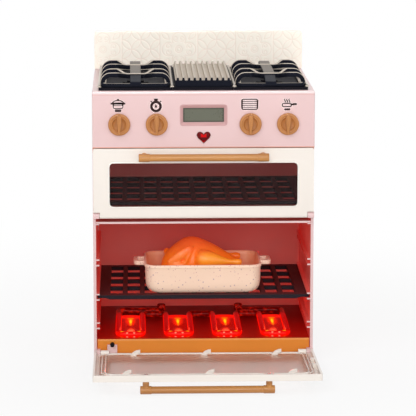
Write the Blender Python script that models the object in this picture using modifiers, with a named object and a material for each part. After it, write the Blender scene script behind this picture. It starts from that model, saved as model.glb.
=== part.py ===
"""Toy oven for a doll's kitchen, modelled as the separate pieces that it comes apart into.

Metres, +Z up. The origin is the centre of the housing's footprint on the floor, and the front faces -Y.
The upper door is shut. The lower door lies open on its stop, just clear of the floor.
"""

import math

import bmesh
import bpy
from mathutils import Matrix, Vector

# Clearances shared by all pieces
GAP = 0.0003
OVERRUN = 0.004
WELD = 0.00001

# Housing
WIDTH = 0.212
DEPTH = 0.1886
DECK_TOP = 0.2649
WALL = 0.0027
DECK_THICKNESS = 0.0026
FASCIA_THICKNESS = 0.0026
FASCIA_HEIGHT = 0.0542
CEILING_THICKNESS = 0.0024
HOUSING_EDGE_RADIUS = 0.0016
WIRE_HOLE_RADIUS = 0.005
WIRE_HOLE_X = 0.06
WIRE_HOLE_INSET = 0.014

# Hinges: each door turns on pins moulded at its lower corners, held in the housing's ears
AXIS_INSET = 0.0031
LOWER_AXIS_Z = 0.0102
EAR_WIDTH = 0.0062
EAR_GAP = 0.0004
EAR_SINK = 0.0014
PIN_RADIUS = 0.0015
PIN_LENGTH = 0.0044
PIN_CLEARANCE = 0.00025
BARREL_RADIUS = 0.0025
BARREL_LENGTH = 0.0078

# Doors
DOOR_SIDE_INSET = 0.0005
DOOR_THICKNESS = 0.0062
DOOR_PLATE = 0.0023
DOOR_RIM = 0.002
DOOR_CORNER_RADIUS = 0.0022
HINGE_EDGE = 0.0025
LOWER_DOOR_HEIGHT = 0.1312
DOOR_SPACING = 0.0009
DOOR_TOP_GAP = 0.0007
STOP_CLEARANCE = 0.00025
WINDOW_SIDE_INSET = 0.0155
WINDOW_RADIUS = 0.0035
LOWER_WINDOW_LOW = 0.0465
LOWER_WINDOW_TOP_INSET = 0.0147
UPPER_WINDOW_LOW = 0.0089
UPPER_WINDOW_TOP_INSET = 0.014
PANE_SIDE_INSET = 0.0059
PANE_THICKNESS = 0.0016
PANE_RADIUS = 0.009
PANE_TOP_INSET = 0.0034
LOWER_PANE_LOW = 0.014
UPPER_PANE_LOW = 0.0032
BEAD_INSET = 0.0034
BEAD_WIDTH = 0.0022
BEAD_HEIGHT = 0.0012

# Hooks that hold each door's clear pane: three in a row near each long edge, and two tabs at one side
HOOK_WIDTH = 0.0096
HOOK_HEIGHT = 0.0074
HOOK_THICKNESS = 0.0016
HOOK_STEM = 0.006
HOOK_UNDERCUT = 0.0031
HOOK_TIP = 0.0014
HOOK_SHIFT = 0.0015
LOWER_HOOK_Z = 0.021
LOWER_HOOK_SHARE = 0.67972
UPPER_ROW_SHARE = 0.76606
UPPER_HOOK_Z = 0.0052
UPPER_ROW_INSET = 0.0104
SLOT_CLEARANCE = 0.0004
SLOT_RUN = 0.0065
TAB_LENGTH = 0.004
TAB_HEIGHT = 0.0036
TAB_SHARES = (0.37, 0.6)

# Door handles and their screws
HANDLE_END_INSET = 0.0435
HANDLE_RADIUS = 0.0034
SLEEVE_RADIUS = 0.0038
SLEEVE_LENGTH = 0.0104
HANDLE_REACH = 0.009
HANDLE_TOP_INSET = 0.0075
HANDLE_END_ROUND = 0.0006
POST_RADIUS = 0.003
POST_INSET = 0.0053
SCREW_RADIUS = 0.0011
SCREW_CLEARANCE = 0.0003
SCREW_LENGTH = 0.0085
HEAD_RADIUS = 0.0024
HEAD_HEIGHT = 0.0015
HEAD_CROWN = 0.0004
BOSS_RADIUS = 0.0049
BOSS_HEIGHT = 0.0036
BOSS_RELIEF = 0.0006

# Knobs
KNOB_RADIUS = 0.0105
KNOB_DROP = 0.0316
KNOB_SPACING = 0.03565
OUTER_KNOB_INSET = 0.0257
KNOB_SKIRT = 0.0024
KNOB_RING_RADIUS = 0.0079
KNOB_RING_HEIGHT = 0.0042
KNOB_RING_WIDTH = 0.0012
KNOB_DISH_HEIGHT = 0.0034
KNOB_GRIP_HEIGHT = 0.0088
KNOB_GRIP_TOP_WIDTH = 0.0052
KNOB_GRIP_LOW_WIDTH = 0.003
KNOB_GRIP_EDGE = 0.0007
KNOB_SHAFT_RADIUS = 0.0024
KNOB_SHAFT_CLEARANCE = 0.0005
KNOB_CATCH_RADIUS = 0.0034
KNOB_CATCH_HEIGHT = 0.0012
KNOB_NOSE = 0.0022

# Display
DISPLAY_DROP = 0.023
DISPLAY_WIDTH = 0.0446
DISPLAY_HEIGHT = 0.0202
DISPLAY_RADIUS = 0.0016
LENS_WIDTH = 0.040
LENS_HEIGHT = 0.0139
LENS_THICKNESS = 0.0014
LENS_RECESS = 0.0018
BEZEL_RECESS = 0.0006
BEZEL_FLANGE = 0.0022
BEZEL_FLANGE_THICKNESS = 0.0014

# Heart button, sprung, with its stem on the control board's switch
HEART_DROP = 0.0448
HEART_WIDTH = 0.013
HEART_HEIGHT = 0.011
HEART_PROUD = 0.0019
HEART_CLEARANCE = 0.0004
HEART_FLANGE_SHARE = 1.2
HEART_FLANGE_THICKNESS = 0.0012
HEART_STEM_RADIUS = 0.002
HEART_TRAVEL = 0.0015

# Control board
BOARD_SIDE_MARGIN = 0.01435
BOARD_LIFT = 0.0032
BOARD_TOP_INSET = 0.0069
BOARD_THICKNESS = 0.0016
BOARD_DEPTH = 0.0136
DISPLAY_BLOCK_MARGIN = 0.003
SWITCH_RADIUS = 0.003

# Cavities
DIVIDER_DROP = 0.0033
DIVIDER_THICKNESS = 0.0014
DIVIDER_LIP = 0.0019
DIVIDER_LIP_DEPTH = 0.0026
SHELF_SETBACK = 0.0068
BACK_WALL_INSET = 0.0276
BACK_WALL_THICKNESS = 0.002
LEDGE_REACH = 0.0031
LEDGE_HEIGHT = 0.0014
LEDGE_PAIR_GAP = 0.0039
LOW_LEDGE_TOP = 0.0342
LOWER_RACK_LEDGE_TOP = 0.0623
HIGH_LEDGE_TOP = 0.0961
UPPER_RACK_LEDGE_TOP = 0.1543

# Racks
RACK_SIDE_GAP = 0.001
RACK_TAPER = 0.0008
RACK_THICKNESS = 0.0028
RACK_FRONT_INSET = 0.0103
RACK_SIDE_MARGIN = 0.0147
RACK_END_MARGIN = 0.0135
RACK_BAR = 0.0041
RACK_CROSS_BAR = 0.009
RACK_COLUMNS = 11
RACK_ROWS = 4

# Bottom panel
PANEL_THICKNESS = 0.0024
SILL_HEIGHT = 0.0075
SILL_WALL = 0.0016
SILL_INSET = 0.0064
SWITCH_INSET = 0.0143
SWITCH_TAB_WIDTH = 0.0095

# Heater tray with its light board and lights
TRAY_TOP = 0.0224
TRAY_SIDE_GAP = 0.0007
TRAY_FRONT_INSET = 0.0083
TRAY_WALL = 0.0022
LIGHT_INSET = 0.086
LIGHT_RADIUS = 0.0023
LIGHT_FLANGE_RADIUS = 0.0029
LIGHT_FLANGE_HEIGHT = 0.001
LIGHT_HOLE_CLEARANCE = 0.0004
LIGHT_BOARD_END = 0.0155
LIGHT_BOARD_HALF_WIDTH = 0.006
LIGHT_BOARD_THICKNESS = 0.0016
LIGHT_BOARD_DROP = 0.0024
BOARD_RIB_WIDTH = 0.003

# Heating element: one tube with a loop over each light, with thin webs that carry the light
ELEMENT_RADIUS = 0.003
ELEMENT_SIDE_INSET = 0.0321
ELEMENT_LOOPS = 4
ELEMENT_LOOP_HALF = 0.0118
ELEMENT_FRONT_INSET = 0.014
ELEMENT_BACK_INSET = 0.106
ELEMENT_RUN_INSET = 0.1218
ELEMENT_SOCKET_INSET = 0.14
ELEMENT_SOCKET_X = 0.0392
ELEMENT_BEND_RADIUS = 0.0042
ELEMENT_LOOP_RADIUS = 0.0085
ELEMENT_WEB = 0.0011
SOCKET_RADIUS = 0.0042
SOCKET_HEIGHT = 0.0064

# Door switch
PLUNGER_Z = 0.0174
PLUNGER_RADIUS = 0.0019
PLUNGER_CLEARANCE = 0.0003
PLUNGER_PROUD = 0.0056
PLUNGER_COLLAR_RADIUS = 0.0025
PLUNGER_COLLAR = 0.0012
PLUNGER_TRAVEL = 0.002
PLUNGER_TAIL = 0.006
SWITCH_BODY_HALF_WIDTH = 0.0055
SWITCH_BODY_TOP = 0.0215
SWITCH_BODY_LENGTH = 0.009

# Cooktop
INSERT_THICKNESS = 0.0024
INSERT_FRONT_INSET = 0.0068
INSERT_REAR_INSET = 0.0126
DECK_SIDE_MARGIN = 0.0063
MIDDLE_INSERT_WIDTH = 0.0576
INSERT_SPACING = 0.0005
INSERT_RIM_WIDTH = 0.0015
INSERT_RIM_HEIGHT = 0.0020
INSERT_RIM_END = 0.004
BURNER_RADIUS = 0.0125
BURNER_CAP_RADIUS = 0.0085
BURNER_HEIGHT = 0.0022
BURNER_CAP_HEIGHT = 0.0036

# Grates: a base frame, four arches drawn in pairs to each burner's centre, and a strap front to back
GRATE_SIDE_INSET = 0.0022
GRATE_LENGTH = 0.132
GRATE_FRONT_INSET = 0.0082
GRATE_FRAME_BAR = 0.005
GRATE_FRAME_HEIGHT = 0.0032
GRATE_CORNER_RADIUS = 0.003
GRATE_HEIGHT = 0.0124
GRATE_DIP = 0.0026
ARCH_BAR = 0.003
ARCH_THICKNESS = 0.0024
ARCH_CORNER_RADIUS = 0.0075
ARCH_SPREAD = 0.0165
ARCH_WAIST = 0.0014
ARCH_SHOULDER_X = 0.0185
ARCH_WAIST_X = 0.009
BURNER_PITCH = 0.074
STRAP_WIDTH = 0.0105
STRAP_BAR = 0.0026
STRAP_DROP = 0.0005
STRAP_FRONT_FALL = 0.0048
STRAP_REAR_RISE = 0.0012

# Griddle
GRIDDLE_WIDTH = 0.0532
GRIDDLE_LENGTH = 0.140
GRIDDLE_FRONT_INSET = 0.010
GRIDDLE_BODY_HEIGHT = 0.0060
GRIDDLE_RIB_HEIGHT = 0.0030
GRIDDLE_RIB_WIDTH = 0.0021
GRIDDLE_RIBS = 10
GRIDDLE_RIB_PITCH = 0.0054

# Backsplash
BACKSPLASH_HEIGHT = 0.0387
BACKSPLASH_THICKNESS = 0.006
BACKSPLASH_RADIUS = 0.003

# Rear cover, battery compartment and speaker
COVER_THICKNESS = 0.0025
BOSS_INSET_X = 0.0064
BOSS_LOW_Z = 0.012
BOSS_DROP = 0.0113
REAR_BOSS_RADIUS = 0.0042
REAR_BOSS_LENGTH = 0.020
BATTERY_RADIUS = 0.00725
BATTERY_LENGTH = 0.0490
BATTERY_NUB_RADIUS = 0.00275
BATTERY_NUB = 0.0015
BATTERY_PITCH = 0.0155
BATTERY_LOW_Z = 0.066
BATTERY_ROOM = 0.0015
BOX_WALL = 0.0016
BATTERY_COVER_TAB = 0.0105
BATTERY_TAB_HALF_WIDTH = 0.007
TAB_BOSS_RADIUS = 0.0038
SPEAKER_Z = 0.185
SPEAKER_RADIUS = 0.020
SPEAKER_FLANGE = 0.002
SPEAKER_CONE_RADIUS = 0.0165
SPEAKER_MAGNET_RADIUS = 0.009
SPEAKER_DEPTH = 0.0125
SPEAKER_DISH = 0.004
SPEAKER_SLOTS = 6
SPEAKER_SLOT_HEIGHT = 0.0022
SPEAKER_SLOT_PITCH = 0.0052

# Roasting pan
PAN_WIDTH = 0.1136
PAN_DEPTH = 0.078
PAN_HEIGHT = 0.0278
PAN_WALL = 0.002
PAN_CORNER_RADIUS = 0.012
PAN_FOOT_INSET = 0.0046
PAN_FLOOR_ROUND = 0.0035
PAN_LIP = 0.0007
PAN_LIP_HEIGHT = 0.0026
PAN_FRONT_INSET = 0.0145
PAN_HANDLE_REACH = 0.0103
PAN_HANDLE_WIDTH = 0.046
PAN_HANDLE_BAR = 0.0038
PAN_HANDLE_THICKNESS = 0.0038
PAN_HANDLE_DROP = 0.0018

# Roast: the lumps are centres and radii as shares of its length, and a tilt in degrees
ROAST_LENGTH = 0.0785
ROAST_LUMP_SHARES = (
    ((-0.12, 0.0, 0.30), (0.35, 0.30, 0.295), 14),
    ((-0.24, 0.0, 0.22), (0.25, 0.31, 0.215), 0),
    ((0.08, -0.19, 0.20), (0.22, 0.12, 0.15), 20),
    ((0.08, 0.19, 0.20), (0.22, 0.12, 0.15), 20),
    ((0.27, -0.17, 0.17), (0.22, 0.085, 0.085), 8),
    ((0.27, 0.17, 0.19), (0.22, 0.085, 0.085), 4),
    ((0.45, -0.16, 0.16), (0.052, 0.06, 0.052), 0),
    ((0.45, 0.16, 0.19), (0.052, 0.06, 0.052), 0),
    ((-0.25, -0.27, 0.17), (0.20, 0.075, 0.11), -28),
    ((-0.25, 0.27, 0.17), (0.20, 0.075, 0.11), -28),
    ((-0.445, 0.0, 0.27), (0.055, 0.07, 0.06), 0),
)
ROAST_X = -0.0006

# Worked out from the sizes above
HALF_WIDTH = WIDTH / 2
HALF_DEPTH = DEPTH / 2
INNER_HALF = HALF_WIDTH - WALL
FRONT = -HALF_DEPTH
FASCIA_BOTTOM = DECK_TOP - FASCIA_HEIGHT
BACK_WALL_Y = HALF_DEPTH - BACK_WALL_INSET
DOOR_WIDTH = WIDTH - 2 * DOOR_SIDE_INSET
WINDOW_WIDTH = DOOR_WIDTH - 2 * WINDOW_SIDE_INSET
PANE_WIDTH = DOOR_WIDTH - 2 * PANE_SIDE_INSET
LOWER_HOOK_PITCH = LOWER_HOOK_SHARE * PANE_WIDTH / 2
UPPER_ROW_PITCH = UPPER_ROW_SHARE * PANE_WIDTH / 2
HANDLE_HALF_LENGTH = DOOR_WIDTH / 2 - HANDLE_END_INSET
LOWER_WINDOW_HIGH = LOWER_DOOR_HEIGHT - LOWER_WINDOW_TOP_INSET
KNOB_Z = DECK_TOP - KNOB_DROP
OUTER_KNOB_X = HALF_WIDTH - OUTER_KNOB_INSET
INNER_KNOB_X = OUTER_KNOB_X - KNOB_SPACING
DISPLAY_Z = DECK_TOP - DISPLAY_DROP
HEART_Z = DECK_TOP - HEART_DROP
BOARD_WIDTH = 2 * (INNER_KNOB_X + BOARD_SIDE_MARGIN)
BOARD_LOW = FASCIA_BOTTOM + BOARD_LIFT
BOARD_HIGH = DECK_TOP - BOARD_TOP_INSET
RACK_HALF_WIDTH = INNER_HALF - RACK_SIDE_GAP
TRAY_HALF_WIDTH = INNER_HALF - TRAY_SIDE_GAP
SWITCH_TAB_X = SWITCH_INSET - TRAY_HALF_WIDTH
OUTER_LOOP_X = TRAY_HALF_WIDTH - ELEMENT_SIDE_INSET
ELEMENT_PITCH = 2 * OUTER_LOOP_X / (ELEMENT_LOOPS - 1)
LIGHT_BOARD_HALF_LENGTH = OUTER_LOOP_X + LIGHT_BOARD_END
LIGHT_Y = FRONT + LIGHT_INSET
ELEMENT_FRONT_Y = FRONT + ELEMENT_FRONT_INSET
ELEMENT_BACK_Y = FRONT + ELEMENT_BACK_INSET
ELEMENT_RUN_Y = FRONT + ELEMENT_RUN_INSET
ELEMENT_SOCKET_Y = FRONT + ELEMENT_SOCKET_INSET
INSERT_REAR_Y = HALF_DEPTH - INSERT_REAR_INSET
OUTER_INSERT_WIDTH = HALF_WIDTH - DECK_SIDE_MARGIN - MIDDLE_INSERT_WIDTH / 2 - INSERT_SPACING
GRATE_WIDTH = OUTER_INSERT_WIDTH - 2 * GRATE_SIDE_INSET
BOSS_HIGH_Z = DECK_TOP - BOSS_DROP
PAN_FRONT_Y = FRONT + PAN_FRONT_INSET
AXIS_Y = FRONT + AXIS_INSET
DOOR_SEAT_Y = FRONT + DOOR_THICKNESS + GAP
SHELF_FRONT = FRONT + SHELF_SETBACK
SHELF_BACK = BACK_WALL_Y - GAP
LOWER_DOOR_TOP = LOWER_AXIS_Z + LOWER_DOOR_HEIGHT
UPPER_AXIS_Z = LOWER_DOOR_TOP + DOOR_SPACING + HINGE_EDGE
UPPER_DOOR_HEIGHT = FASCIA_BOTTOM - DOOR_TOP_GAP - UPPER_AXIS_Z
UPPER_WINDOW_HIGH = UPPER_DOOR_HEIGHT - UPPER_WINDOW_TOP_INSET
DIVIDER_TOP = LOWER_DOOR_TOP - DIVIDER_DROP
NOTCH_X = HALF_WIDTH - EAR_WIDTH - EAR_GAP
NOTCH_Z = AXIS_INSET + EAR_GAP
PLATE_INSIDE = DOOR_PLATE - AXIS_INSET
HANDLE_X = HANDLE_HALF_LENGTH - POST_INSET
HANDLE_Y = -AXIS_INSET - HANDLE_REACH
RACK_FRONT = FRONT + RACK_FRONT_INSET
RACK_BACK = SHELF_BACK - GAP
INSERT_FLOOR = DECK_TOP + GAP + INSERT_THICKNESS
BOARD_FRONT = FRONT + BOARD_DEPTH
COVER_FRONT = HALF_DEPTH - COVER_THICKNESS
TRAY_FRONT = FRONT + TRAY_FRONT_INSET
TRAY_BACK = BACK_WALL_Y - GAP
TRAY_FOOT = PANEL_THICKNESS + GAP
ELEMENT_Z = TRAY_TOP + GAP + ELEMENT_RADIUS
LIGHT_BOARD_TOP = TRAY_TOP - TRAY_WALL - LIGHT_BOARD_DROP
RACK_Z = LOWER_RACK_LEDGE_TOP + GAP
PAN_Z = RACK_Z + RACK_THICKNESS + GAP
PAN_Y = PAN_FRONT_Y + PAN_DEPTH / 2

# How far the lower door swings down from upright: its handle then stops just clear of the floor
HANDLE_DROP = AXIS_INSET + HANDLE_REACH + SLEEVE_RADIUS
HANDLE_ALONG = LOWER_DOOR_HEIGHT - HANDLE_TOP_INSET
STOP_TILT = math.asin((HANDLE_DROP + STOP_CLEARANCE - LOWER_AXIS_Z) / math.hypot(HANDLE_ALONG, HANDLE_DROP))
LOWER_DOOR_OPENING = math.radians(90) - STOP_TILT

TO_FRONT = (math.radians(90), 0, 0)
TO_BACK = (math.radians(-90), 0, 0)


def collection(name):
    made = bpy.data.collections.new(name)
    bpy.context.scene.collection.children.link(made)
    return made


def material(name, colour, roughness, metallic=0.0, alpha=1.0):
    """A Principled material from an sRGB colour of 0 to 255."""
    made = bpy.data.materials.new(name)
    made.use_nodes = True
    shader = made.node_tree.nodes["Principled BSDF"]
    linear = [(c / 255) ** 2.2 for c in colour]
    shader.inputs["Base Color"].default_value = (*linear, 1)
    shader.inputs["Roughness"].default_value = roughness
    shader.inputs["Metallic"].default_value = metallic
    shader.inputs["Alpha"].default_value = alpha
    made.diffuse_color = (*linear, alpha)
    return made


def clear_scene():
    for obj in list(bpy.data.objects):
        bpy.data.objects.remove(obj)


def add_block(bm, low, high):
    made = bmesh.ops.create_cube(bm, size=1.0)["verts"]
    bmesh.ops.scale(bm, vec=[b - a for a, b in zip(low, high)], verts=made)
    bmesh.ops.translate(bm, vec=[(a + b) / 2 for a, b in zip(low, high)], verts=made)


def add_cylinder(bm, start, axis, radius, length, sides=14):
    """A cylinder that begins at start and runs along axis."""
    direction = Vector(axis)
    turn = Vector((0, 0, 1)).rotation_difference(direction).to_matrix().to_4x4()
    middle = Vector(start) + direction * length / 2
    bmesh.ops.create_cone(
        bm, cap_ends=True, segments=sides, radius1=radius, radius2=radius, depth=length,
        matrix=Matrix.Translation(middle) @ turn,
    )


PRISM_TURNS = {
    "X": Matrix(((0, 0, 1), (1, 0, 0), (0, 1, 0))),
    "Y": Matrix(((1, 0, 0), (0, 0, 1), (0, 1, 0))),
    "Z": Matrix.Identity(3),
}


def fill_outline(loops):
    """A bmesh of the flat face inside the first loop, with the other loops as its holes."""
    flat = bmesh.new()
    if len(loops) == 1:
        flat.faces.new([flat.verts.new((u, v, 0)) for u, v in loops[0]])
        return flat
    curve = bpy.data.curves.new("outline", "CURVE")
    curve.dimensions = "2D"
    curve.fill_mode = "BOTH"
    for loop in loops:
        spline = curve.splines.new("POLY")
        spline.points.add(len(loop) - 1)
        for point, (u, v) in zip(spline.points, loop):
            point.co = (u, v, 0, 1)
        spline.use_cyclic_u = True
    outline = bpy.data.objects.new("outline", curve)
    bpy.context.scene.collection.objects.link(outline)
    bpy.context.view_layer.update()
    graph = bpy.context.evaluated_depsgraph_get()
    flat.from_mesh(bpy.data.meshes.new_from_object(outline.evaluated_get(graph)))
    bpy.data.objects.remove(outline)
    bmesh.ops.remove_doubles(flat, verts=flat.verts, dist=WELD)
    bmesh.ops.dissolve_degenerate(flat, dist=WELD / 10, edges=flat.edges)
    return flat


def add_prism(bm, loops, low, high, axis):
    """An outline, with any holes, extruded from low to high along axis."""
    solid = fill_outline(loops)
    swept = bmesh.ops.extrude_face_region(solid, geom=list(solid.faces), use_keep_orig=True)
    moved = [item for item in swept["geom"] if isinstance(item, bmesh.types.BMVert)]
    bmesh.ops.translate(solid, vec=(0, 0, high - low), verts=moved)
    shift = Vector([low if letter == axis else 0 for letter in "XYZ"])
    turn = Matrix.Translation(shift) @ PRISM_TURNS[axis].to_4x4()
    bmesh.ops.transform(solid, matrix=turn, verts=solid.verts)
    bmesh.ops.recalc_face_normals(solid, faces=solid.faces)
    mesh = bpy.data.meshes.new("prism")
    solid.to_mesh(mesh)
    solid.free()
    bm.from_mesh(mesh)


def arc(centre, radius, start, end, steps):
    """Points of an arc in degrees, both ends included."""
    angles = [math.radians(start + (end - start) * i / steps) for i in range(steps + 1)]
    return [(centre[0] + radius * math.cos(a), centre[1] + radius * math.sin(a)) for a in angles]


def rounded_rectangle(low, high, radius, steps=3):
    corners = ((high[0], high[1], 0), (low[0], high[1], 90), (low[0], low[1], 180), (high[0], low[1], 270))
    points = []
    for x, y, angle in corners:
        inward_x = x - radius if x == high[0] else x + radius
        inward_y = y - radius if y == high[1] else y + radius
        points += arc((inward_x, inward_y), radius, angle, angle + 90, steps)
    return points


def centred_rectangle(width, height, radius, centre=(0, 0), steps=2):
    low = (centre[0] - width / 2, centre[1] - height / 2)
    high = (centre[0] + width / 2, centre[1] + height / 2)
    return rounded_rectangle(low, high, radius, steps)


def heart_outline(width, height, centre, points=16):
    """The usual heart curve, scaled to a width and a height."""
    outline = []
    for i in range(points):
        t = 2 * math.pi * i / points
        across = math.sin(t) ** 3
        up = (13 * math.cos(t) - 5 * math.cos(2 * t) - 2 * math.cos(3 * t) - math.cos(4 * t) + 2.5) / 29
        outline.append((centre[0] - across * width / 2, centre[1] + up * height))
    return outline


def add_object(name, bm, at=(0, 0, 0), turn=(0, 0, 0), parent=None, finish=None):
    """An object from a bmesh. With a finish it is a piece, and without one a hidden helper."""
    mesh = bpy.data.meshes.new(name)
    bm.to_mesh(mesh)
    bm.free()
    mesh.shade_smooth()
    mesh.set_sharp_from_angle(angle=math.radians(35))
    obj = bpy.data.objects.new(name, mesh)
    return place(obj, at, turn, parent, finish)


def place(obj, at, turn, parent, finish):
    (PARTS if finish else CUTTERS).objects.link(obj)
    obj.location = at
    obj.rotation_euler = turn
    obj.parent = parent
    if finish:
        obj.data.materials.append(finish)
    else:
        obj.hide_render = True
        obj.display_type = "WIRE"
    return obj


def empty(name, at, turn=(0, 0, 0), parent=None):
    made = bpy.data.objects.new(name, None)
    PARTS.objects.link(made)
    made.location = at
    made.rotation_euler = turn
    made.parent = parent
    return made


def turned(name, profile, steps, at, turn=(0, 0, 0), parent=None, finish=None):
    """A profile of (radius, height), from the top down its outer side, spun about local Z."""
    mesh = bpy.data.meshes.new(name)
    edges = [(i, i + 1) for i in range(len(profile) - 1)]
    mesh.from_pydata([(r, 0, z) for r, z in profile], edges, [])
    obj = place(bpy.data.objects.new(name, mesh), at, turn, parent, finish)
    spin = obj.modifiers.new("spin", "SCREW")
    spin.steps = steps
    spin.render_steps = steps
    spin.use_merge_vertices = True
    spin.merge_threshold = WELD
    spin.use_smooth_shade = True
    return obj


def boolean(obj, other, operation):
    step = obj.modifiers.new(other.name, "BOOLEAN")
    step.operation = operation
    step.object = other


def carve(obj, other):
    boolean(obj, other, "DIFFERENCE")


def fuse(obj, other):
    boolean(obj, other, "UNION")


def both_sides(x):
    return ((-1, -x), (1, x))


def ledge_blocks(bm, top, pair):
    """The rib on each side wall that carries a rack, and with pair the rib above that keeps it in."""
    tops = [top]
    if pair:
        tops.append(top + LEDGE_PAIR_GAP + LEDGE_HEIGHT)
    for rib_top in tops:
        for side, x in both_sides(INNER_HALF):
            ends = sorted((x - side * LEDGE_REACH, x + side * WALL / 2))
            add_block(bm, (ends[0], SHELF_FRONT, rib_top - LEDGE_HEIGHT), (ends[1], SHELF_BACK, rib_top))


def ear_outline(foot, axis_z):
    """Side view of a hinge ear: square below the axis, rounded over it at the front."""
    back = DOOR_SEAT_Y + EAR_SINK
    top = axis_z + AXIS_INSET
    return [(back, foot), (FRONT, foot), *arc((AXIS_Y, axis_z), AXIS_INSET, 180, 90, 4), (back, top)]


def make_housing():
    bm = bmesh.new()
    add_block(bm, (-HALF_WIDTH, -HALF_DEPTH, 0), (HALF_WIDTH, HALF_DEPTH, DECK_TOP))
    rounded = [e for e in bm.edges if max(v.co.z for v in e.verts) > DECK_TOP - WELD]
    bmesh.ops.bevel(bm, geom=rounded, offset=HOUSING_EDGE_RADIUS, segments=2, profile=0.5, affect="EDGES")
    housing = add_object("housing", bm, finish=PINK)

    bm = bmesh.new()
    room = (INNER_HALF, HALF_DEPTH + OVERRUN, FASCIA_BOTTOM)
    add_block(bm, (-INNER_HALF, FRONT - OVERRUN, -OVERRUN), room)
    add_block(
        bm,
        (-INNER_HALF, FRONT + FASCIA_THICKNESS, FASCIA_BOTTOM + CEILING_THICKNESS),
        (INNER_HALF, HALF_DEPTH + OVERRUN, DECK_TOP - DECK_THICKNESS),
    )
    carve(housing, add_object("housing_hollows", bm))
    bm = bmesh.new()
    back = COVER_FRONT - GAP
    high = DECK_TOP - DECK_THICKNESS
    add_block(bm, (-INNER_HALF, back, -OVERRUN), (INNER_HALF, HALF_DEPTH + OVERRUN, high))
    carve(housing, add_object("housing_cover_seat", bm))

    bm = bmesh.new()
    reach = HALF_WIDTH + OVERRUN
    add_block(bm, (-reach, FRONT - OVERRUN, -OVERRUN), (reach, DOOR_SEAT_Y, FASCIA_BOTTOM))
    carve(housing, add_object("housing_front_step", bm))

    bm = bmesh.new()
    for foot, axis_z in ((0, LOWER_AXIS_Z), (UPPER_AXIS_Z - HINGE_EDGE, UPPER_AXIS_Z)):
        for side, x in both_sides(HALF_WIDTH):
            ends = sorted((x, x - side * EAR_WIDTH))
            add_prism(bm, [ear_outline(foot, axis_z)], ends[0], ends[1], "X")
    fuse(housing, add_object("housing_ears", bm))

    bm = bmesh.new()
    for top in (LOW_LEDGE_TOP, LOWER_RACK_LEDGE_TOP, HIGH_LEDGE_TOP, UPPER_RACK_LEDGE_TOP):
        ledge_blocks(bm, top, True)
    ledge_blocks(bm, DIVIDER_TOP - DIVIDER_THICKNESS - GAP, False)
    fuse(housing, add_object("housing_ledges", bm))

    bm = bmesh.new()
    boss_back = COVER_FRONT - GAP
    for side, x in both_sides(HALF_WIDTH - BOSS_INSET_X):
        for z in (BOSS_LOW_Z, BOSS_HIGH_Z):
            add_cylinder(bm, (x, boss_back, z), (0, -1, 0), REAR_BOSS_RADIUS, REAR_BOSS_LENGTH, 10)
    fuse(housing, add_object("housing_rear_bosses", bm))

    bm = bmesh.new()
    for side, x in both_sides(HALF_WIDTH - BOSS_INSET_X):
        for z in (BOSS_LOW_Z, BOSS_HIGH_Z):
            start = (x, boss_back + OVERRUN, z)
            hole = SCREW_RADIUS + SCREW_CLEARANCE
            add_cylinder(bm, start, (0, -1, 0), hole, OVERRUN + SCREW_LENGTH, 8)
    for side, x in both_sides(HALF_WIDTH - EAR_WIDTH):
        for axis_z in (LOWER_AXIS_Z, UPPER_AXIS_Z):
            start = (x - side * OVERRUN, AXIS_Y, axis_z)
            depth = OVERRUN + PIN_LENGTH + GAP
            add_cylinder(bm, start, (side, 0, 0), PIN_RADIUS + PIN_CLEARANCE, depth, 10)
    shaft_hole = KNOB_SHAFT_RADIUS + KNOB_SHAFT_CLEARANCE
    for x in (-OUTER_KNOB_X, -INNER_KNOB_X, INNER_KNOB_X, OUTER_KNOB_X):
        deep = OVERRUN * 2 + FASCIA_THICKNESS
        add_cylinder(bm, (x, FRONT - OVERRUN, KNOB_Z), (0, 1, 0), shaft_hole, deep, 12)
    ends = (FRONT - OVERRUN, FRONT + FASCIA_THICKNESS + OVERRUN)
    window = centred_rectangle(DISPLAY_WIDTH, DISPLAY_HEIGHT, DISPLAY_RADIUS, (0, DISPLAY_Z))
    add_prism(bm, [window], *ends, "Y")
    around = HEART_CLEARANCE * 2
    heart = heart_outline(HEART_WIDTH + around, HEART_HEIGHT + around, (0, HEART_Z))
    add_prism(bm, [heart], *ends, "Y")
    wire_hole = (WIRE_HOLE_X, HALF_DEPTH - WIRE_HOLE_INSET, FASCIA_BOTTOM - OVERRUN)
    add_cylinder(bm, wire_hole, (0, 0, 1), WIRE_HOLE_RADIUS, OVERRUN * 2 + CEILING_THICKNESS, 10)
    carve(housing, add_object("housing_holes", bm))


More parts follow.
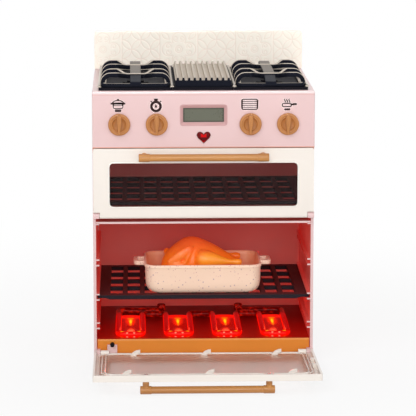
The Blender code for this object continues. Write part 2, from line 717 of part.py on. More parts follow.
def make_bottom_panel():
    half = INNER_HALF - GAP
    front = FRONT + SILL_INSET
    back = COVER_FRONT - GAP
    profile = [
        (front, 0), (back, 0), (back, SILL_HEIGHT), (back - SILL_WALL, SILL_HEIGHT),
        (back - SILL_WALL, PANEL_THICKNESS), (front + SILL_WALL, PANEL_THICKNESS),
        (front + SILL_WALL, SILL_HEIGHT), (front, SILL_HEIGHT),
    ]
    bm = bmesh.new()
    add_prism(bm, [profile], -half, half, "X")
    panel = add_object("bottom_panel", bm, finish=PINK)

    bm = bmesh.new()
    edges = (SWITCH_TAB_X - SWITCH_TAB_WIDTH / 2, SWITCH_TAB_X + SWITCH_TAB_WIDTH / 2)
    add_block(bm, (edges[0], front, PANEL_THICKNESS), (edges[1], front + SILL_WALL, PLUNGER_Z))
    fuse(panel, add_object("switch_tab", bm))

    bm = bmesh.new()
    notch = PLUNGER_RADIUS + PLUNGER_CLEARANCE
    deep = OVERRUN * 2 + SILL_WALL
    add_cylinder(bm, (SWITCH_TAB_X, front - OVERRUN, PLUNGER_Z), (0, 1, 0), notch, deep, 12)
    bosses = HALF_WIDTH - BOSS_INSET_X
    for side, x in both_sides(bosses):
        start = (x, back - REAR_BOSS_LENGTH, BOSS_LOW_Z)
        add_cylinder(bm, start, (0, 1, 0), REAR_BOSS_RADIUS + GAP, DEPTH, 10)
    for side, x in both_sides(HALF_WIDTH):
        ends = sorted((x, x - side * (EAR_WIDTH + GAP)))
        low = (ends[0], front - OVERRUN, -OVERRUN)
        add_block(bm, low, (ends[1], DOOR_SEAT_Y + EAR_SINK + GAP, SILL_HEIGHT + OVERRUN))
    carve(panel, add_object("bottom_panel_cuts", bm))


def make_divider():
    half = INNER_HALF - GAP
    low = DIVIDER_TOP - DIVIDER_THICKNESS
    lip_back = SHELF_FRONT + DIVIDER_LIP_DEPTH
    profile = [
        (SHELF_FRONT, DIVIDER_TOP - DIVIDER_LIP), (lip_back, DIVIDER_TOP - DIVIDER_LIP), (lip_back, low),
        (SHELF_BACK, low), (SHELF_BACK, DIVIDER_TOP), (SHELF_FRONT, DIVIDER_TOP),
    ]
    bm = bmesh.new()
    add_prism(bm, [profile], -half, half, "X")
    divider = add_object("cavity_divider", bm, finish=PINK)
    bm = bmesh.new()
    for side, x in both_sides(INNER_HALF):
        ends = sorted((x + side * OVERRUN, x - side * (LEDGE_REACH + GAP)))
        add_block(bm, (ends[0], SHELF_FRONT - GAP, low - OVERRUN), (ends[1], SHELF_BACK, low))
    carve(divider, add_object("divider_ledge_clearance", bm))


def make_back_wall():
    bm = bmesh.new()
    half = INNER_HALF - GAP
    back = BACK_WALL_Y + BACK_WALL_THICKNESS
    add_block(bm, (-half, BACK_WALL_Y, TRAY_FOOT), (half, back, FASCIA_BOTTOM - GAP))
    add_object("cavity_back_wall", bm, finish=PINK)


def hook_profile(x, base):
    """A fin with a round back and an undercut that opens to the right, from the plate's inner side."""
    left = x - HOOK_WIDTH / 2
    right = x + HOOK_WIDTH / 2
    stem = left + HOOK_STEM
    sunk = base - DOOR_PLATE / 2
    quarter = [math.radians(angle) for angle in range(90, 181, 18)]
    back = [(right + HOOK_WIDTH * math.cos(a), base + HOOK_HEIGHT * math.sin(a)) for a in quarter]
    undercut = base + HOOK_UNDERCUT
    return [(left, sunk), (stem, sunk), (stem, undercut), (right, undercut + HOOK_TIP), *back]


def hook_places(height, low_z):
    """(x, z) of each hook of a door whose top edge is at height above its hinge."""
    rows = ((low_z, LOWER_HOOK_PITCH), (height - UPPER_ROW_INSET, UPPER_ROW_PITCH))
    return [(HOOK_SHIFT + step * pitch, z) for z, pitch in rows for step in (-1, 0, 1)]


def make_door_frame(name, hinge, height, low_z, window):
    half = DOOR_WIDTH / 2
    radius = DOOR_CORNER_RADIUS
    outline = [
        (-NOTCH_X, -HINGE_EDGE), (NOTCH_X, -HINGE_EDGE), (NOTCH_X, NOTCH_Z), (half, NOTCH_Z),
        *arc((half - radius, height - radius), radius, 0, 90, 3),
        *arc((radius - half, height - radius), radius, 90, 180, 3),
        (-half, NOTCH_Z), (-NOTCH_X, NOTCH_Z),
    ]
    back = DOOR_THICKNESS - AXIS_INSET
    bm = bmesh.new()
    add_prism(bm, [outline], -AXIS_INSET, back, "Y")
    frame = add_object(name, bm, parent=hinge, finish=CREAM)

    bm = bmesh.new()
    inner = half - DOOR_RIM
    add_block(bm, (-inner, PLATE_INSIDE, -HINGE_EDGE - OVERRUN), (inner, back + OVERRUN, height - DOOR_RIM))
    carve(frame, add_object(name + "_pocket", bm, parent=hinge))

    bm = bmesh.new()
    opening = rounded_rectangle((-WINDOW_WIDTH / 2, window[0]), (WINDOW_WIDTH / 2, window[1]), WINDOW_RADIUS)
    add_prism(bm, [opening], -AXIS_INSET - OVERRUN, OVERRUN, "Y")
    carve(frame, add_object(name + "_opening", bm, parent=hinge))

    bm = bmesh.new()
    swing = 180 + math.degrees(math.asin(HINGE_EDGE / AXIS_INSET))
    rolled = arc((0, 0), AXIS_INSET, 180, swing, 4)
    low = -HINGE_EDGE - OVERRUN
    rolled += [(rolled[-1][0], low), (-AXIS_INSET - OVERRUN, low), (-AXIS_INSET - OVERRUN, 0)]
    add_prism(bm, [rolled], -half, half, "X")
    carve(frame, add_object(name + "_hinge_round", bm, parent=hinge))

    bm = bmesh.new()
    for side, x in both_sides(NOTCH_X):
        add_cylinder(bm, (x, 0, 0), (-side, 0, 0), BARREL_RADIUS, BARREL_LENGTH, 12)
    fuse(frame, add_object(name + "_barrels", bm, parent=hinge))

    bm = bmesh.new()
    for side, x in both_sides(HALF_WIDTH - EAR_WIDTH + PIN_LENGTH):
        add_cylinder(bm, (x, 0, 0), (-side, 0, 0), PIN_RADIUS, PIN_LENGTH + BARREL_LENGTH / 2, 10)
    fuse(frame, add_object(name + "_pins", bm, parent=hinge))

    bm = bmesh.new()
    for x, z in hook_places(height, low_z):
        profile = [hook_profile(x, PLATE_INSIDE)]
        add_prism(bm, profile, z - HOOK_THICKNESS / 2, z + HOOK_THICKNESS / 2, "Z")
    tab_x = (PANE_WIDTH / 2 + GAP, half - DOOR_RIM / 2)
    for share in TAB_SHARES:
        z = height * share
        low = (tab_x[0], PLATE_INSIDE - DOOR_PLATE / 2, z - TAB_LENGTH / 2)
        add_block(bm, low, (tab_x[1], PLATE_INSIDE + TAB_HEIGHT, z + TAB_LENGTH / 2))
    fuse(frame, add_object(name + "_hooks", bm, parent=hinge))

    screw_z = height - HANDLE_TOP_INSET
    boss_top = PLATE_INSIDE + BOSS_HEIGHT
    bm = bmesh.new()
    for side, x in both_sides(HANDLE_X):
        start = (x, PLATE_INSIDE - DOOR_PLATE / 2, screw_z)
        add_cylinder(bm, start, (0, 1, 0), BOSS_RADIUS, BOSS_HEIGHT + DOOR_PLATE / 2)
    fuse(frame, add_object(name + "_bosses", bm, parent=hinge))

    bm = bmesh.new()
    for side, x in both_sides(HANDLE_X):
        start = (x, boss_top + OVERRUN, screw_z)
        add_cylinder(bm, start, (0, -1, 0), HEAD_RADIUS + SCREW_CLEARANCE, OVERRUN + HEAD_HEIGHT + GAP, 12)
    carve(frame, add_object(name + "_head_seats", bm, parent=hinge))

    bm = bmesh.new()
    for side, x in both_sides(HANDLE_X):
        start = (x, boss_top + OVERRUN, screw_z)
        deep = OVERRUN * 2 + BOSS_HEIGHT + DOOR_PLATE
        add_cylinder(bm, start, (0, -1, 0), SCREW_RADIUS + SCREW_CLEARANCE, deep, 8)
    carve(frame, add_object(name + "_screw_holes", bm, parent=hinge))


def make_pane(name, hinge, height, low_z, pane_low):
    """The clear inner pane, slotted for the hooks and cut round the screw bosses, with a raised bead."""
    half = PANE_WIDTH / 2
    top = height - PANE_TOP_INSET
    front = PLATE_INSIDE + GAP
    back = front + PANE_THICKNESS
    loops = [rounded_rectangle((-half, pane_low), (half, top), PANE_RADIUS)]
    for x, z in hook_places(height, low_z):
        left = x - HOOK_WIDTH / 2 - SLOT_RUN
        right = x - HOOK_WIDTH / 2 + HOOK_STEM + SLOT_CLEARANCE
        tall = HOOK_THICKNESS / 2 + SLOT_CLEARANCE
        loops.append([(left, z - tall), (right, z - tall), (right, z + tall), (left, z + tall)])
    bm = bmesh.new()
    add_prism(bm, loops, front, back, "Y")
    pane = add_object(name, bm, parent=hinge, finish=CLEAR)

    rings = []
    for inset in (BEAD_INSET, BEAD_INSET + BEAD_WIDTH):
        low = (inset - half, pane_low + inset)
        rings.append(rounded_rectangle(low, (half - inset, top - inset), PANE_RADIUS - inset))
    bm = bmesh.new()
    add_prism(bm, rings, back - PANE_THICKNESS / 2, back + BEAD_HEIGHT, "Y")
    fuse(pane, add_object(name + "_bead", bm, parent=hinge))

    bm = bmesh.new()
    for side, x in both_sides(HANDLE_X):
        start = (x, front - OVERRUN, height - HANDLE_TOP_INSET)
        add_cylinder(bm, start, (0, 1, 0), BOSS_RADIUS + BOSS_RELIEF, OVERRUN * 2 + DOOR_THICKNESS)
    carve(pane, add_object(name + "_boss_relief", bm, parent=hinge))


def make_handle(name, hinge, height):
    """A round bar with thicker sleeves at its ends, on two bored posts."""
    half = HANDLE_HALF_LENGTH
    inner = half - SLEEVE_LENGTH
    end = half - HANDLE_END_ROUND
    rounded = SLEEVE_RADIUS - HANDLE_END_ROUND
    profile = [
        (0, half), (rounded, half), (SLEEVE_RADIUS, end), (SLEEVE_RADIUS, inner),
        (HANDLE_RADIUS, inner), (HANDLE_RADIUS, -inner), (SLEEVE_RADIUS, -inner),
        (SLEEVE_RADIUS, -end), (rounded, -half), (0, -half),
    ]
    along_x = (0, math.radians(90), 0)
    handle = turned(name, profile, 14, (0, HANDLE_Y, height - HANDLE_TOP_INSET), along_x, hinge, TAN)
    bm = bmesh.new()
    for side, x in both_sides(HANDLE_X):
        start = (x, HANDLE_Y, height - HANDLE_TOP_INSET)
        add_cylinder(bm, start, (0, 1, 0), POST_RADIUS, HANDLE_REACH - GAP, 12)
    fuse(handle, add_object(name + "_posts", bm, parent=hinge))
    bm = bmesh.new()
    for side, x in both_sides(HANDLE_X):
        start = (x, OVERRUN, height - HANDLE_TOP_INSET)
        tip = PLATE_INSIDE + BOSS_HEIGHT - HEAD_HEIGHT - SCREW_LENGTH
        deep = OVERRUN + GAP - tip
        add_cylinder(bm, start, (0, -1, 0), SCREW_RADIUS + SCREW_CLEARANCE, deep, 8)
    carve(handle, add_object(name + "_bores", bm, parent=hinge))


def screw_profile(length):
    return [
        (0, HEAD_HEIGHT), (HEAD_RADIUS - HEAD_CROWN, HEAD_HEIGHT), (HEAD_RADIUS, HEAD_HEIGHT - HEAD_CROWN),
        (HEAD_RADIUS, 0), (SCREW_RADIUS, 0), (SCREW_RADIUS, SCREW_RADIUS - length), (0, -length),
    ]


def make_door(which, axis_z, opening, height, low_z, window, pane_low):
    hinge = empty(which + "_door_hinge", (0, AXIS_Y, axis_z), (opening, 0, 0))
    make_door_frame(which + "_door_frame", hinge, height, low_z, window)
    make_pane(which + "_door_window", hinge, height, low_z, pane_low)
    make_handle(which + "_door_handle", hinge, height)
    seat = PLATE_INSIDE + BOSS_HEIGHT - HEAD_HEIGHT
    for word, x in (("left", -HANDLE_X), ("right", HANDLE_X)):
        at = (x, seat, height - HANDLE_TOP_INSET)
        turned(f"{which}_handle_screw_{word}", screw_profile(SCREW_LENGTH), 8, at, TO_BACK, hinge, STEEL)


def make_knob(name, x):
    """Local +Z points out of the fascia and local +Y up, so the grip's wide end is at the top."""
    ring = KNOB_RING_RADIUS
    back = FASCIA_THICKNESS + GAP
    catch = back + KNOB_CATCH_HEIGHT
    profile = [
        (0, KNOB_DISH_HEIGHT), (ring - KNOB_RING_WIDTH * 2, KNOB_DISH_HEIGHT),
        (ring - KNOB_RING_WIDTH, KNOB_RING_HEIGHT), (ring, KNOB_RING_HEIGHT),
        (ring + KNOB_RING_WIDTH / 2, KNOB_DISH_HEIGHT),
        (KNOB_RADIUS - KNOB_RING_WIDTH / 2, KNOB_DISH_HEIGHT),
        (KNOB_RADIUS, KNOB_SKIRT), (KNOB_RADIUS, GAP), (KNOB_SHAFT_RADIUS, GAP), (KNOB_SHAFT_RADIUS, -back),
        (KNOB_CATCH_RADIUS, -back), (KNOB_CATCH_RADIUS, -catch), (KNOB_SHAFT_RADIUS, -catch - KNOB_NOSE),
        (0, -catch - KNOB_NOSE),
    ]
    knob = turned(name, profile, 16, (x, FRONT, KNOB_Z), TO_FRONT, None, TAN)
    reach = KNOB_RADIUS - KNOB_GRIP_EDGE
    low = KNOB_GRIP_LOW_WIDTH / 2
    high = KNOB_GRIP_TOP_WIDTH / 2
    wedge = [(-low, -reach), (low, -reach), (high, reach), (-high, reach)]
    bm = bmesh.new()
    add_prism(bm, [wedge], KNOB_SKIRT, KNOB_GRIP_HEIGHT, "Z")
    top = [e for e in bm.edges if min(v.co.z for v in e.verts) > KNOB_GRIP_HEIGHT - WELD]
    bmesh.ops.bevel(bm, geom=top, offset=KNOB_GRIP_EDGE, segments=2, profile=0.5, affect="EDGES")
    fuse(knob, add_object(name + "_grip", bm, parent=knob))


def make_display():
    y = FRONT + BEZEL_RECESS
    flange_front = FRONT + FASCIA_THICKNESS + GAP
    flange_back = flange_front + BEZEL_FLANGE_THICKNESS
    room = GAP * 2
    centre = (0, DISPLAY_Z)
    outer = centred_rectangle(DISPLAY_WIDTH - room, DISPLAY_HEIGHT - room, DISPLAY_RADIUS, centre)
    inner = centred_rectangle(LENS_WIDTH + room, LENS_HEIGHT + room, GAP, centre, 1)
    bm = bmesh.new()
    add_prism(bm, [outer, inner], y, flange_back, "Y")
    bezel = add_object("display_bezel", bm, finish=DUSTY_PINK)
    widened = BEZEL_FLANGE * 2
    flange = centred_rectangle(DISPLAY_WIDTH + widened, DISPLAY_HEIGHT + widened, DISPLAY_RADIUS, centre)
    opening = centred_rectangle(LENS_WIDTH + room, LENS_HEIGHT + room, GAP, centre, 1)
    bm = bmesh.new()
    add_prism(bm, [flange, opening], flange_front, flange_back, "Y")
    fuse(bezel, add_object("display_bezel_flange", bm))

    bm = bmesh.new()
    low = (-LENS_WIDTH / 2, FRONT + LENS_RECESS, DISPLAY_Z - LENS_HEIGHT / 2)
    high = (LENS_WIDTH / 2, FRONT + LENS_RECESS + LENS_THICKNESS, DISPLAY_Z + LENS_HEIGHT / 2)
    add_block(bm, low, high)
    add_object("display_lens", bm, finish=LENS)


def make_heart_button():
    """The heart shows, its wider flange stays behind the fascia, and its stem meets the switch."""
    origin = (0, FRONT, HEART_Z)
    flange_front = FASCIA_THICKNESS + GAP
    flange_back = flange_front + HEART_FLANGE_THICKNESS
    bm = bmesh.new()
    add_prism(bm, [heart_outline(HEART_WIDTH, HEART_HEIGHT, (0, 0))], -HEART_PROUD, flange_back, "Y")
    button = add_object("heart_button", bm, origin, finish=HEART_RED)
    bm = bmesh.new()
    share = HEART_FLANGE_SHARE
    flange = heart_outline(HEART_WIDTH * share, HEART_HEIGHT * share, (0, 0))
    add_prism(bm, [flange], flange_front, flange_back, "Y")
    fuse(button, add_object("heart_flange", bm, origin))
    bm = bmesh.new()
    stem_end = BOARD_DEPTH - HEART_TRAVEL - SWITCH_RADIUS - GAP
    start = flange_back - HEART_FLANGE_THICKNESS / 2
    add_cylinder(bm, (0, start, 0), (0, 1, 0), HEART_STEM_RADIUS, stem_end - start, 10)
    fuse(button, add_object("heart_stem", bm, origin))


def make_control_board():
    half = BOARD_WIDTH / 2
    bm = bmesh.new()
    add_block(bm, (-half, BOARD_FRONT, BOARD_LOW), (half, BOARD_FRONT + BOARD_THICKNESS, BOARD_HIGH))
    board = add_object("control_board", bm, finish=BOARD_GREEN)
    bm = bmesh.new()
    x = LENS_WIDTH / 2 + DISPLAY_BLOCK_MARGIN
    z = LENS_HEIGHT / 2 + DISPLAY_BLOCK_MARGIN
    block_front = FRONT + FASCIA_THICKNESS + BEZEL_FLANGE_THICKNESS + GAP * 2
    back = BOARD_FRONT + BOARD_THICKNESS / 2
    add_block(bm, (-x, block_front, DISPLAY_Z - z), (x, back, DISPLAY_Z + z))
    fuse(board, add_object("display_block", bm))
    bm = bmesh.new()
    x = LENS_WIDTH / 2 - GAP
    z = LENS_HEIGHT / 2 - GAP
    glass_front = FRONT + LENS_RECESS + LENS_THICKNESS + GAP
    add_block(bm, (-x, glass_front, DISPLAY_Z - z), (x, back, DISPLAY_Z + z))
    fuse(board, add_object("display_face", bm))
    bm = bmesh.new()
    start = (0, BOARD_FRONT - SWITCH_RADIUS, HEART_Z)
    add_cylinder(bm, start, (0, 1, 0), SWITCH_RADIUS, SWITCH_RADIUS + BOARD_THICKNESS / 2, 12)
    fuse(board, add_object("button_switch", bm))


def loop_centres():
    middle = (ELEMENT_LOOPS - 1) / 2
    return [(i - middle) * ELEMENT_PITCH for i in range(ELEMENT_LOOPS)]


def make_heater_tray():
    """A shallow box, open below, with a light hole under each loop of the element."""
    bm = bmesh.new()
    add_block(bm, (-TRAY_HALF_WIDTH, TRAY_FRONT, TRAY_FOOT), (TRAY_HALF_WIDTH, TRAY_BACK, TRAY_TOP))
    tray = add_object("heater_tray", bm, finish=HEATER_TAN)
    inner = TRAY_HALF_WIDTH - TRAY_WALL
    bm = bmesh.new()
    low = (-inner, TRAY_FRONT + TRAY_WALL, TRAY_FOOT - OVERRUN)
    add_block(bm, low, (inner, TRAY_BACK - TRAY_WALL, TRAY_TOP - TRAY_WALL))
    carve(tray, add_object("tray_hollow", bm))
    bm = bmesh.new()
    for x in (0, -ELEMENT_PITCH, ELEMENT_PITCH):
        ends = (x - BOARD_RIB_WIDTH / 2, x + BOARD_RIB_WIDTH / 2)
        low = (ends[0], LIGHT_Y - LIGHT_BOARD_HALF_WIDTH, LIGHT_BOARD_TOP + GAP)
        add_block(bm, low, (ends[1], LIGHT_Y + LIGHT_BOARD_HALF_WIDTH, TRAY_TOP - TRAY_WALL / 2))
    fuse(tray, add_object("tray_board_ribs", bm))
    bm = bmesh.new()
    for x in loop_centres():
        hole = LIGHT_RADIUS + LIGHT_HOLE_CLEARANCE
        add_cylinder(bm, (x, LIGHT_Y, TRAY_TOP + OVERRUN), (0, 0, -1), hole, OVERRUN + TRAY_WALL + GAP, 12)
    start = (SWITCH_TAB_X, TRAY_FRONT - OVERRUN, PLUNGER_Z)
    add_cylinder(bm, start, (0, 1, 0), PLUNGER_RADIUS + PLUNGER_CLEARANCE, OVERRUN + TRAY_WALL + GAP, 12)
    carve(tray, add_object("tray_holes", bm))


def make_lights():
    bm = bmesh.new()
    half = (LIGHT_BOARD_HALF_LENGTH, LIGHT_BOARD_HALF_WIDTH)
    low = (-half[0], LIGHT_Y - half[1], LIGHT_BOARD_TOP - LIGHT_BOARD_THICKNESS)
    add_block(bm, low, (half[0], LIGHT_Y + half[1], LIGHT_BOARD_TOP))
    add_object("light_board", bm, finish=BOARD_GREEN)
    height = TRAY_TOP - LIGHT_BOARD_TOP - GAP
    flat = height - LIGHT_RADIUS
    profile = [
        *[(x, flat + z) for x, z in arc((0, 0), LIGHT_RADIUS, 90, 0, 3)],
        (LIGHT_RADIUS, LIGHT_FLANGE_HEIGHT), (LIGHT_FLANGE_RADIUS, LIGHT_FLANGE_HEIGHT),
        (LIGHT_FLANGE_RADIUS, 0), (0, 0),
    ]
    profile[0] = (0, height)
    for i, x in enumerate(loop_centres()):
        turned(f"light_{i + 1}", profile, 10, (x, LIGHT_Y, LIGHT_BOARD_TOP + GAP), finish=AMBER)


def fillet_path(points, radii, steps=3):
    """A polyline in the XY plane with its inner corners rounded by arcs of their own radii."""
    path = [points[0]]
    for before, corner, after, radius in zip(points, points[1:], points[2:], radii):
        here = Vector(corner)
        one = (Vector(before) - here).normalized()
        two = (Vector(after) - here).normalized()
        half_angle = one.angle(two) / 2
        back = radius / math.tan(half_angle)
        centre = here + (one + two).normalized() * radius / math.sin(half_angle)
        start = here + one * back - centre
        end = here + two * back - centre
        turn = start.angle_signed(end)
        for i in range(steps + 1):
            path.append(tuple(centre + Matrix.Rotation(-turn * i / steps, 2) @ start))
    path.append(points[-1])
    return path


def make_heating_element():
    """One tube: from a socket, round the left loop's outer side, loop by loop to the right, and back."""
    points = [(-ELEMENT_SOCKET_X, ELEMENT_SOCKET_Y), (-ELEMENT_SOCKET_X, ELEMENT_RUN_Y)]
    radii = [ELEMENT_BEND_RADIUS]
    for i, x in enumerate(loop_centres()):
        left, right = x - ELEMENT_LOOP_HALF, x + ELEMENT_LOOP_HALF
        rear_left = ELEMENT_RUN_Y if i == 0 else ELEMENT_BACK_Y
        rear_right = ELEMENT_RUN_Y if i == ELEMENT_LOOPS - 1 else ELEMENT_BACK_Y
        points += [(left, rear_left), (left, ELEMENT_FRONT_Y), (right, ELEMENT_FRONT_Y), (right, rear_right)]
        radii += [ELEMENT_BEND_RADIUS, ELEMENT_LOOP_RADIUS, ELEMENT_LOOP_RADIUS, ELEMENT_BEND_RADIUS]
    points += [(ELEMENT_SOCKET_X, ELEMENT_RUN_Y), (ELEMENT_SOCKET_X, ELEMENT_SOCKET_Y)]
    radii.append(ELEMENT_BEND_RADIUS)
    path = fillet_path(points, radii)

    curve = bpy.data.curves.new("element_tube", "CURVE")
    curve.dimensions = "3D"
    curve.bevel_depth = ELEMENT_RADIUS
    curve.bevel_resolution = 1
    curve.use_fill_caps = True
    spline = curve.splines.new("POLY")
    spline.points.add(len(path) - 1)
    for point, (x, y) in zip(spline.points, path):
        point.co = (x, y, ELEMENT_Z, 1)
    tube = bpy.data.objects.new("element_tube", curve)
    bpy.context.scene.collection.objects.link(tube)
    bpy.context.view_layer.update()
    mesh = bpy.data.meshes.new_from_object(tube.evaluated_get(bpy.context.evaluated_depsgraph_get()))
    bpy.data.objects.remove(tube)
    bm = bmesh.new()
    bm.from_mesh(mesh)
    bmesh.ops.remove_doubles(bm, verts=bm.verts, dist=WELD)
    bmesh.ops.recalc_face_normals(bm, faces=bm.faces)
    element = add_object("heating_element", bm, finish=HEATER_RED)

    bm = bmesh.new()
    web_low = ELEMENT_Z - ELEMENT_RADIUS / 2 - ELEMENT_WEB / 2
    for x in loop_centres():
        low = (x - ELEMENT_LOOP_HALF, ELEMENT_FRONT_Y, web_low)
        add_block(bm, low, (x + ELEMENT_LOOP_HALF, ELEMENT_BACK_Y, web_low + ELEMENT_WEB))
    fuse(element, add_object("element_webs", bm))
    bm = bmesh.new()
    for side, x in both_sides(ELEMENT_SOCKET_X):
        add_cylinder(bm, (x, ELEMENT_SOCKET_Y, TRAY_TOP + GAP), (0, 0, 1), SOCKET_RADIUS, SOCKET_HEIGHT, 12)
    fuse(element, add_object("element_sockets", bm))


def make_door_switch():
    """The sprung plunger, local +Z out of the tray's front, and the body that it slides in."""
    inside = TRAY_WALL + GAP
    collar_back = inside + PLUNGER_COLLAR
    body_front = collar_back + PLUNGER_TRAVEL + GAP
    tail = body_front + PLUNGER_TAIL - PLUNGER_TRAVEL
    edge = PLUNGER_RADIUS / 4
    profile = [
        (0, PLUNGER_PROUD), (PLUNGER_RADIUS - edge, PLUNGER_PROUD), (PLUNGER_RADIUS, PLUNGER_PROUD - edge),
        (PLUNGER_RADIUS, -inside), (PLUNGER_COLLAR_RADIUS, -inside), (PLUNGER_COLLAR_RADIUS, -collar_back),
        (PLUNGER_RADIUS, -collar_back), (PLUNGER_RADIUS, -tail), (0, -tail),
    ]
    at = (SWITCH_TAB_X, TRAY_FRONT, PLUNGER_Z)
    turned("door_switch_plunger", profile, 10, at, TO_FRONT, None, BLACK)
    bm = bmesh.new()
    front = TRAY_FRONT + body_front
    ends = (SWITCH_TAB_X - SWITCH_BODY_HALF_WIDTH, SWITCH_TAB_X + SWITCH_BODY_HALF_WIDTH)
    top = TRAY_TOP - TRAY_WALL - GAP
    add_block(bm, (ends[0], front, TRAY_FOOT), (ends[1], front + SWITCH_BODY_LENGTH, top))
    body = add_object("door_switch_body", bm, finish=BLACK)
    bm = bmesh.new()
    bore = PLUNGER_RADIUS + PLUNGER_CLEARANCE
    deep = OVERRUN + PLUNGER_TAIL + GAP
    add_cylinder(bm, (SWITCH_TAB_X, front - OVERRUN, PLUNGER_Z), (0, 1, 0), bore, deep, 10)
    carve(body, add_object("switch_bore", bm))


def make_racks():
    """The same slotted shelf twice, a little narrower at the back so that it slides in easily."""
    back_half = RACK_HALF_WIDTH - RACK_TAPER
    outline = [
        (-RACK_HALF_WIDTH, RACK_FRONT), (RACK_HALF_WIDTH, RACK_FRONT),
        (back_half, RACK_BACK), (-back_half, RACK_BACK),
    ]
    span_x = 2 * (RACK_HALF_WIDTH - RACK_SIDE_MARGIN)
    span_y = RACK_BACK - RACK_FRONT - 2 * RACK_END_MARGIN
    slot_x = (span_x + RACK_BAR) / RACK_COLUMNS - RACK_BAR
    slot_y = (span_y + RACK_CROSS_BAR) / RACK_ROWS - RACK_CROSS_BAR
    loops = [outline]
    for column in range(RACK_COLUMNS):
        for row in range(RACK_ROWS):
            x = -span_x / 2 + column * (slot_x + RACK_BAR)
            y = RACK_FRONT + RACK_END_MARGIN + row * (slot_y + RACK_CROSS_BAR)
            loops.append([(x, y), (x, y + slot_y), (x + slot_x, y + slot_y), (x + slot_x, y)])
    for name, ledge in (("rack_upper", UPPER_RACK_LEDGE_TOP), ("rack_lower", LOWER_RACK_LEDGE_TOP)):
        bm = bmesh.new()
        add_prism(bm, loops, 0, RACK_THICKNESS, "Z")
        add_object(name, bm, (0, 0, ledge + GAP), finish=RACK_BLACK)


def make_inserts():
    front = FRONT + INSERT_FRONT_INSET
    centre_x = MIDDLE_INSERT_WIDTH / 2 + INSERT_SPACING + OUTER_INSERT_WIDTH / 2
    places = (
        ("left", -centre_x, OUTER_INSERT_WIDTH),
        ("middle", 0, MIDDLE_INSERT_WIDTH),
        ("right", centre_x, OUTER_INSERT_WIDTH),
    )
    rim_top = INSERT_FLOOR + INSERT_RIM_HEIGHT
    for word, x, width in places:
        half = width / 2
        bm = bmesh.new()
        add_block(bm, (x - half, front, DECK_TOP + GAP), (x + half, INSERT_REAR_Y, INSERT_FLOOR))
        insert = add_object("cooktop_insert_" + word, bm, finish=BLACK)
        bm = bmesh.new()
        for side, edge in ((-1, x - half), (1, x + half)):
            ends = sorted((edge, edge - side * INSERT_RIM_WIDTH))
            low = (ends[0], front + INSERT_RIM_END, INSERT_FLOOR - INSERT_THICKNESS / 2)
            add_block(bm, low, (ends[1], INSERT_REAR_Y - INSERT_RIM_END, rim_top))
        fuse(insert, add_object(f"insert_{word}_rims", bm))
        if width == MIDDLE_INSERT_WIDTH:
            continue
        bm = bmesh.new()
        for y in burner_centres():
            start = (x, y, INSERT_FLOOR - INSERT_THICKNESS / 2)
            add_cylinder(bm, start, (0, 0, 1), BURNER_RADIUS, INSERT_THICKNESS / 2 + BURNER_HEIGHT, 16)
        fuse(insert, add_object(f"insert_{word}_burners", bm))
        bm = bmesh.new()
        for y in burner_centres():
            add_cylinder(bm, (x, y, INSERT_FLOOR), (0, 0, 1), BURNER_CAP_RADIUS, BURNER_CAP_HEIGHT)
        fuse(insert, add_object(f"insert_{word}_caps", bm))
        make_grate("burner_grate_" + word, x)


def burner_centres():
    middle = FRONT + GRATE_FRONT_INSET + GRATE_LENGTH / 2
    return (middle - BURNER_PITCH / 2, middle + BURNER_PITCH / 2)


def ease(share):
    """0 to 1 with a level start and end."""
    share = min(max(share, 0), 1)
    return share * share * (3 - 2 * share)


def add_bent_bar(bm, over, under, place_point):
    """A flat bar between two lines. place_point gives a corner from (u, v) and its side, -1 or 1."""
    rings = []
    for one, two in zip(over, under):
        corners = ((one, -1), (one, 1), (two, 1), (two, -1))
        rings.append([bm.verts.new(place_point(u, v, side)) for (u, v), side in corners])
    faces = [bm.faces.new(rings[0]), bm.faces.new(rings[-1])]
    for low, high in zip(rings, rings[1:]):
        faces += [bm.faces.new((low[i - 1], low[i], high[i], high[i - 1])) for i in range(4)]
    bmesh.ops.recalc_face_normals(bm, faces=faces)


def add_arch(bm, x, y, lean, low, top):
    """A bar arched side to side, with round shoulders, dipping and drawn by lean to the burner's centre."""
    half = GRATE_WIDTH / 2 - GRATE_CORNER_RADIUS / 2
    radius = ARCH_CORNER_RADIUS
    run = ARCH_SHOULDER_X - ARCH_WAIST_X
    waist = [ARCH_SHOULDER_X - run * i / 3 for i in range(4)]
    crown = [(u, top - GRATE_DIP * ease((ARCH_SHOULDER_X - u) / run)) for u in waist]
    centre = (half - radius, top - radius)
    over = [(half, low), *arc(centre, radius, 0, 90, 3), *crown]
    under = [(half - ARCH_BAR, low), *arc(centre, radius - ARCH_BAR, 0, 90, 3)]
    under += [(u, v - ARCH_BAR) for u, v in crown]
    over += [(-u, v) for u, v in reversed(over)]
    under += [(-u, v) for u, v in reversed(under)]

    def place_point(u, v, side):
        drawn = ease((ARCH_SHOULDER_X - abs(u)) / run)
        offset = lean * (ARCH_SPREAD + (ARCH_WAIST - ARCH_SPREAD) * drawn)
        return (x + u, y + offset + side * ARCH_THICKNESS / 2, v)

    add_bent_bar(bm, over, under, place_point)


def strap_top(y, top):
    """Height of the strap at y: it dips at each burner's centre, rises between and behind them, and in
    front runs down to the frame."""
    near, far = burner_centres()
    waist = top - STRAP_DROP - GRATE_DIP
    if y < near:
        return waist - STRAP_FRONT_FALL * (near - y) / (near - FRONT - GRATE_FRONT_INSET)
    rise = ease(min(abs(y - near), abs(y - far)) / ARCH_SPREAD)
    return waist + GRATE_DIP * rise + STRAP_REAR_RISE * ease((y - far) / ARCH_SPREAD)


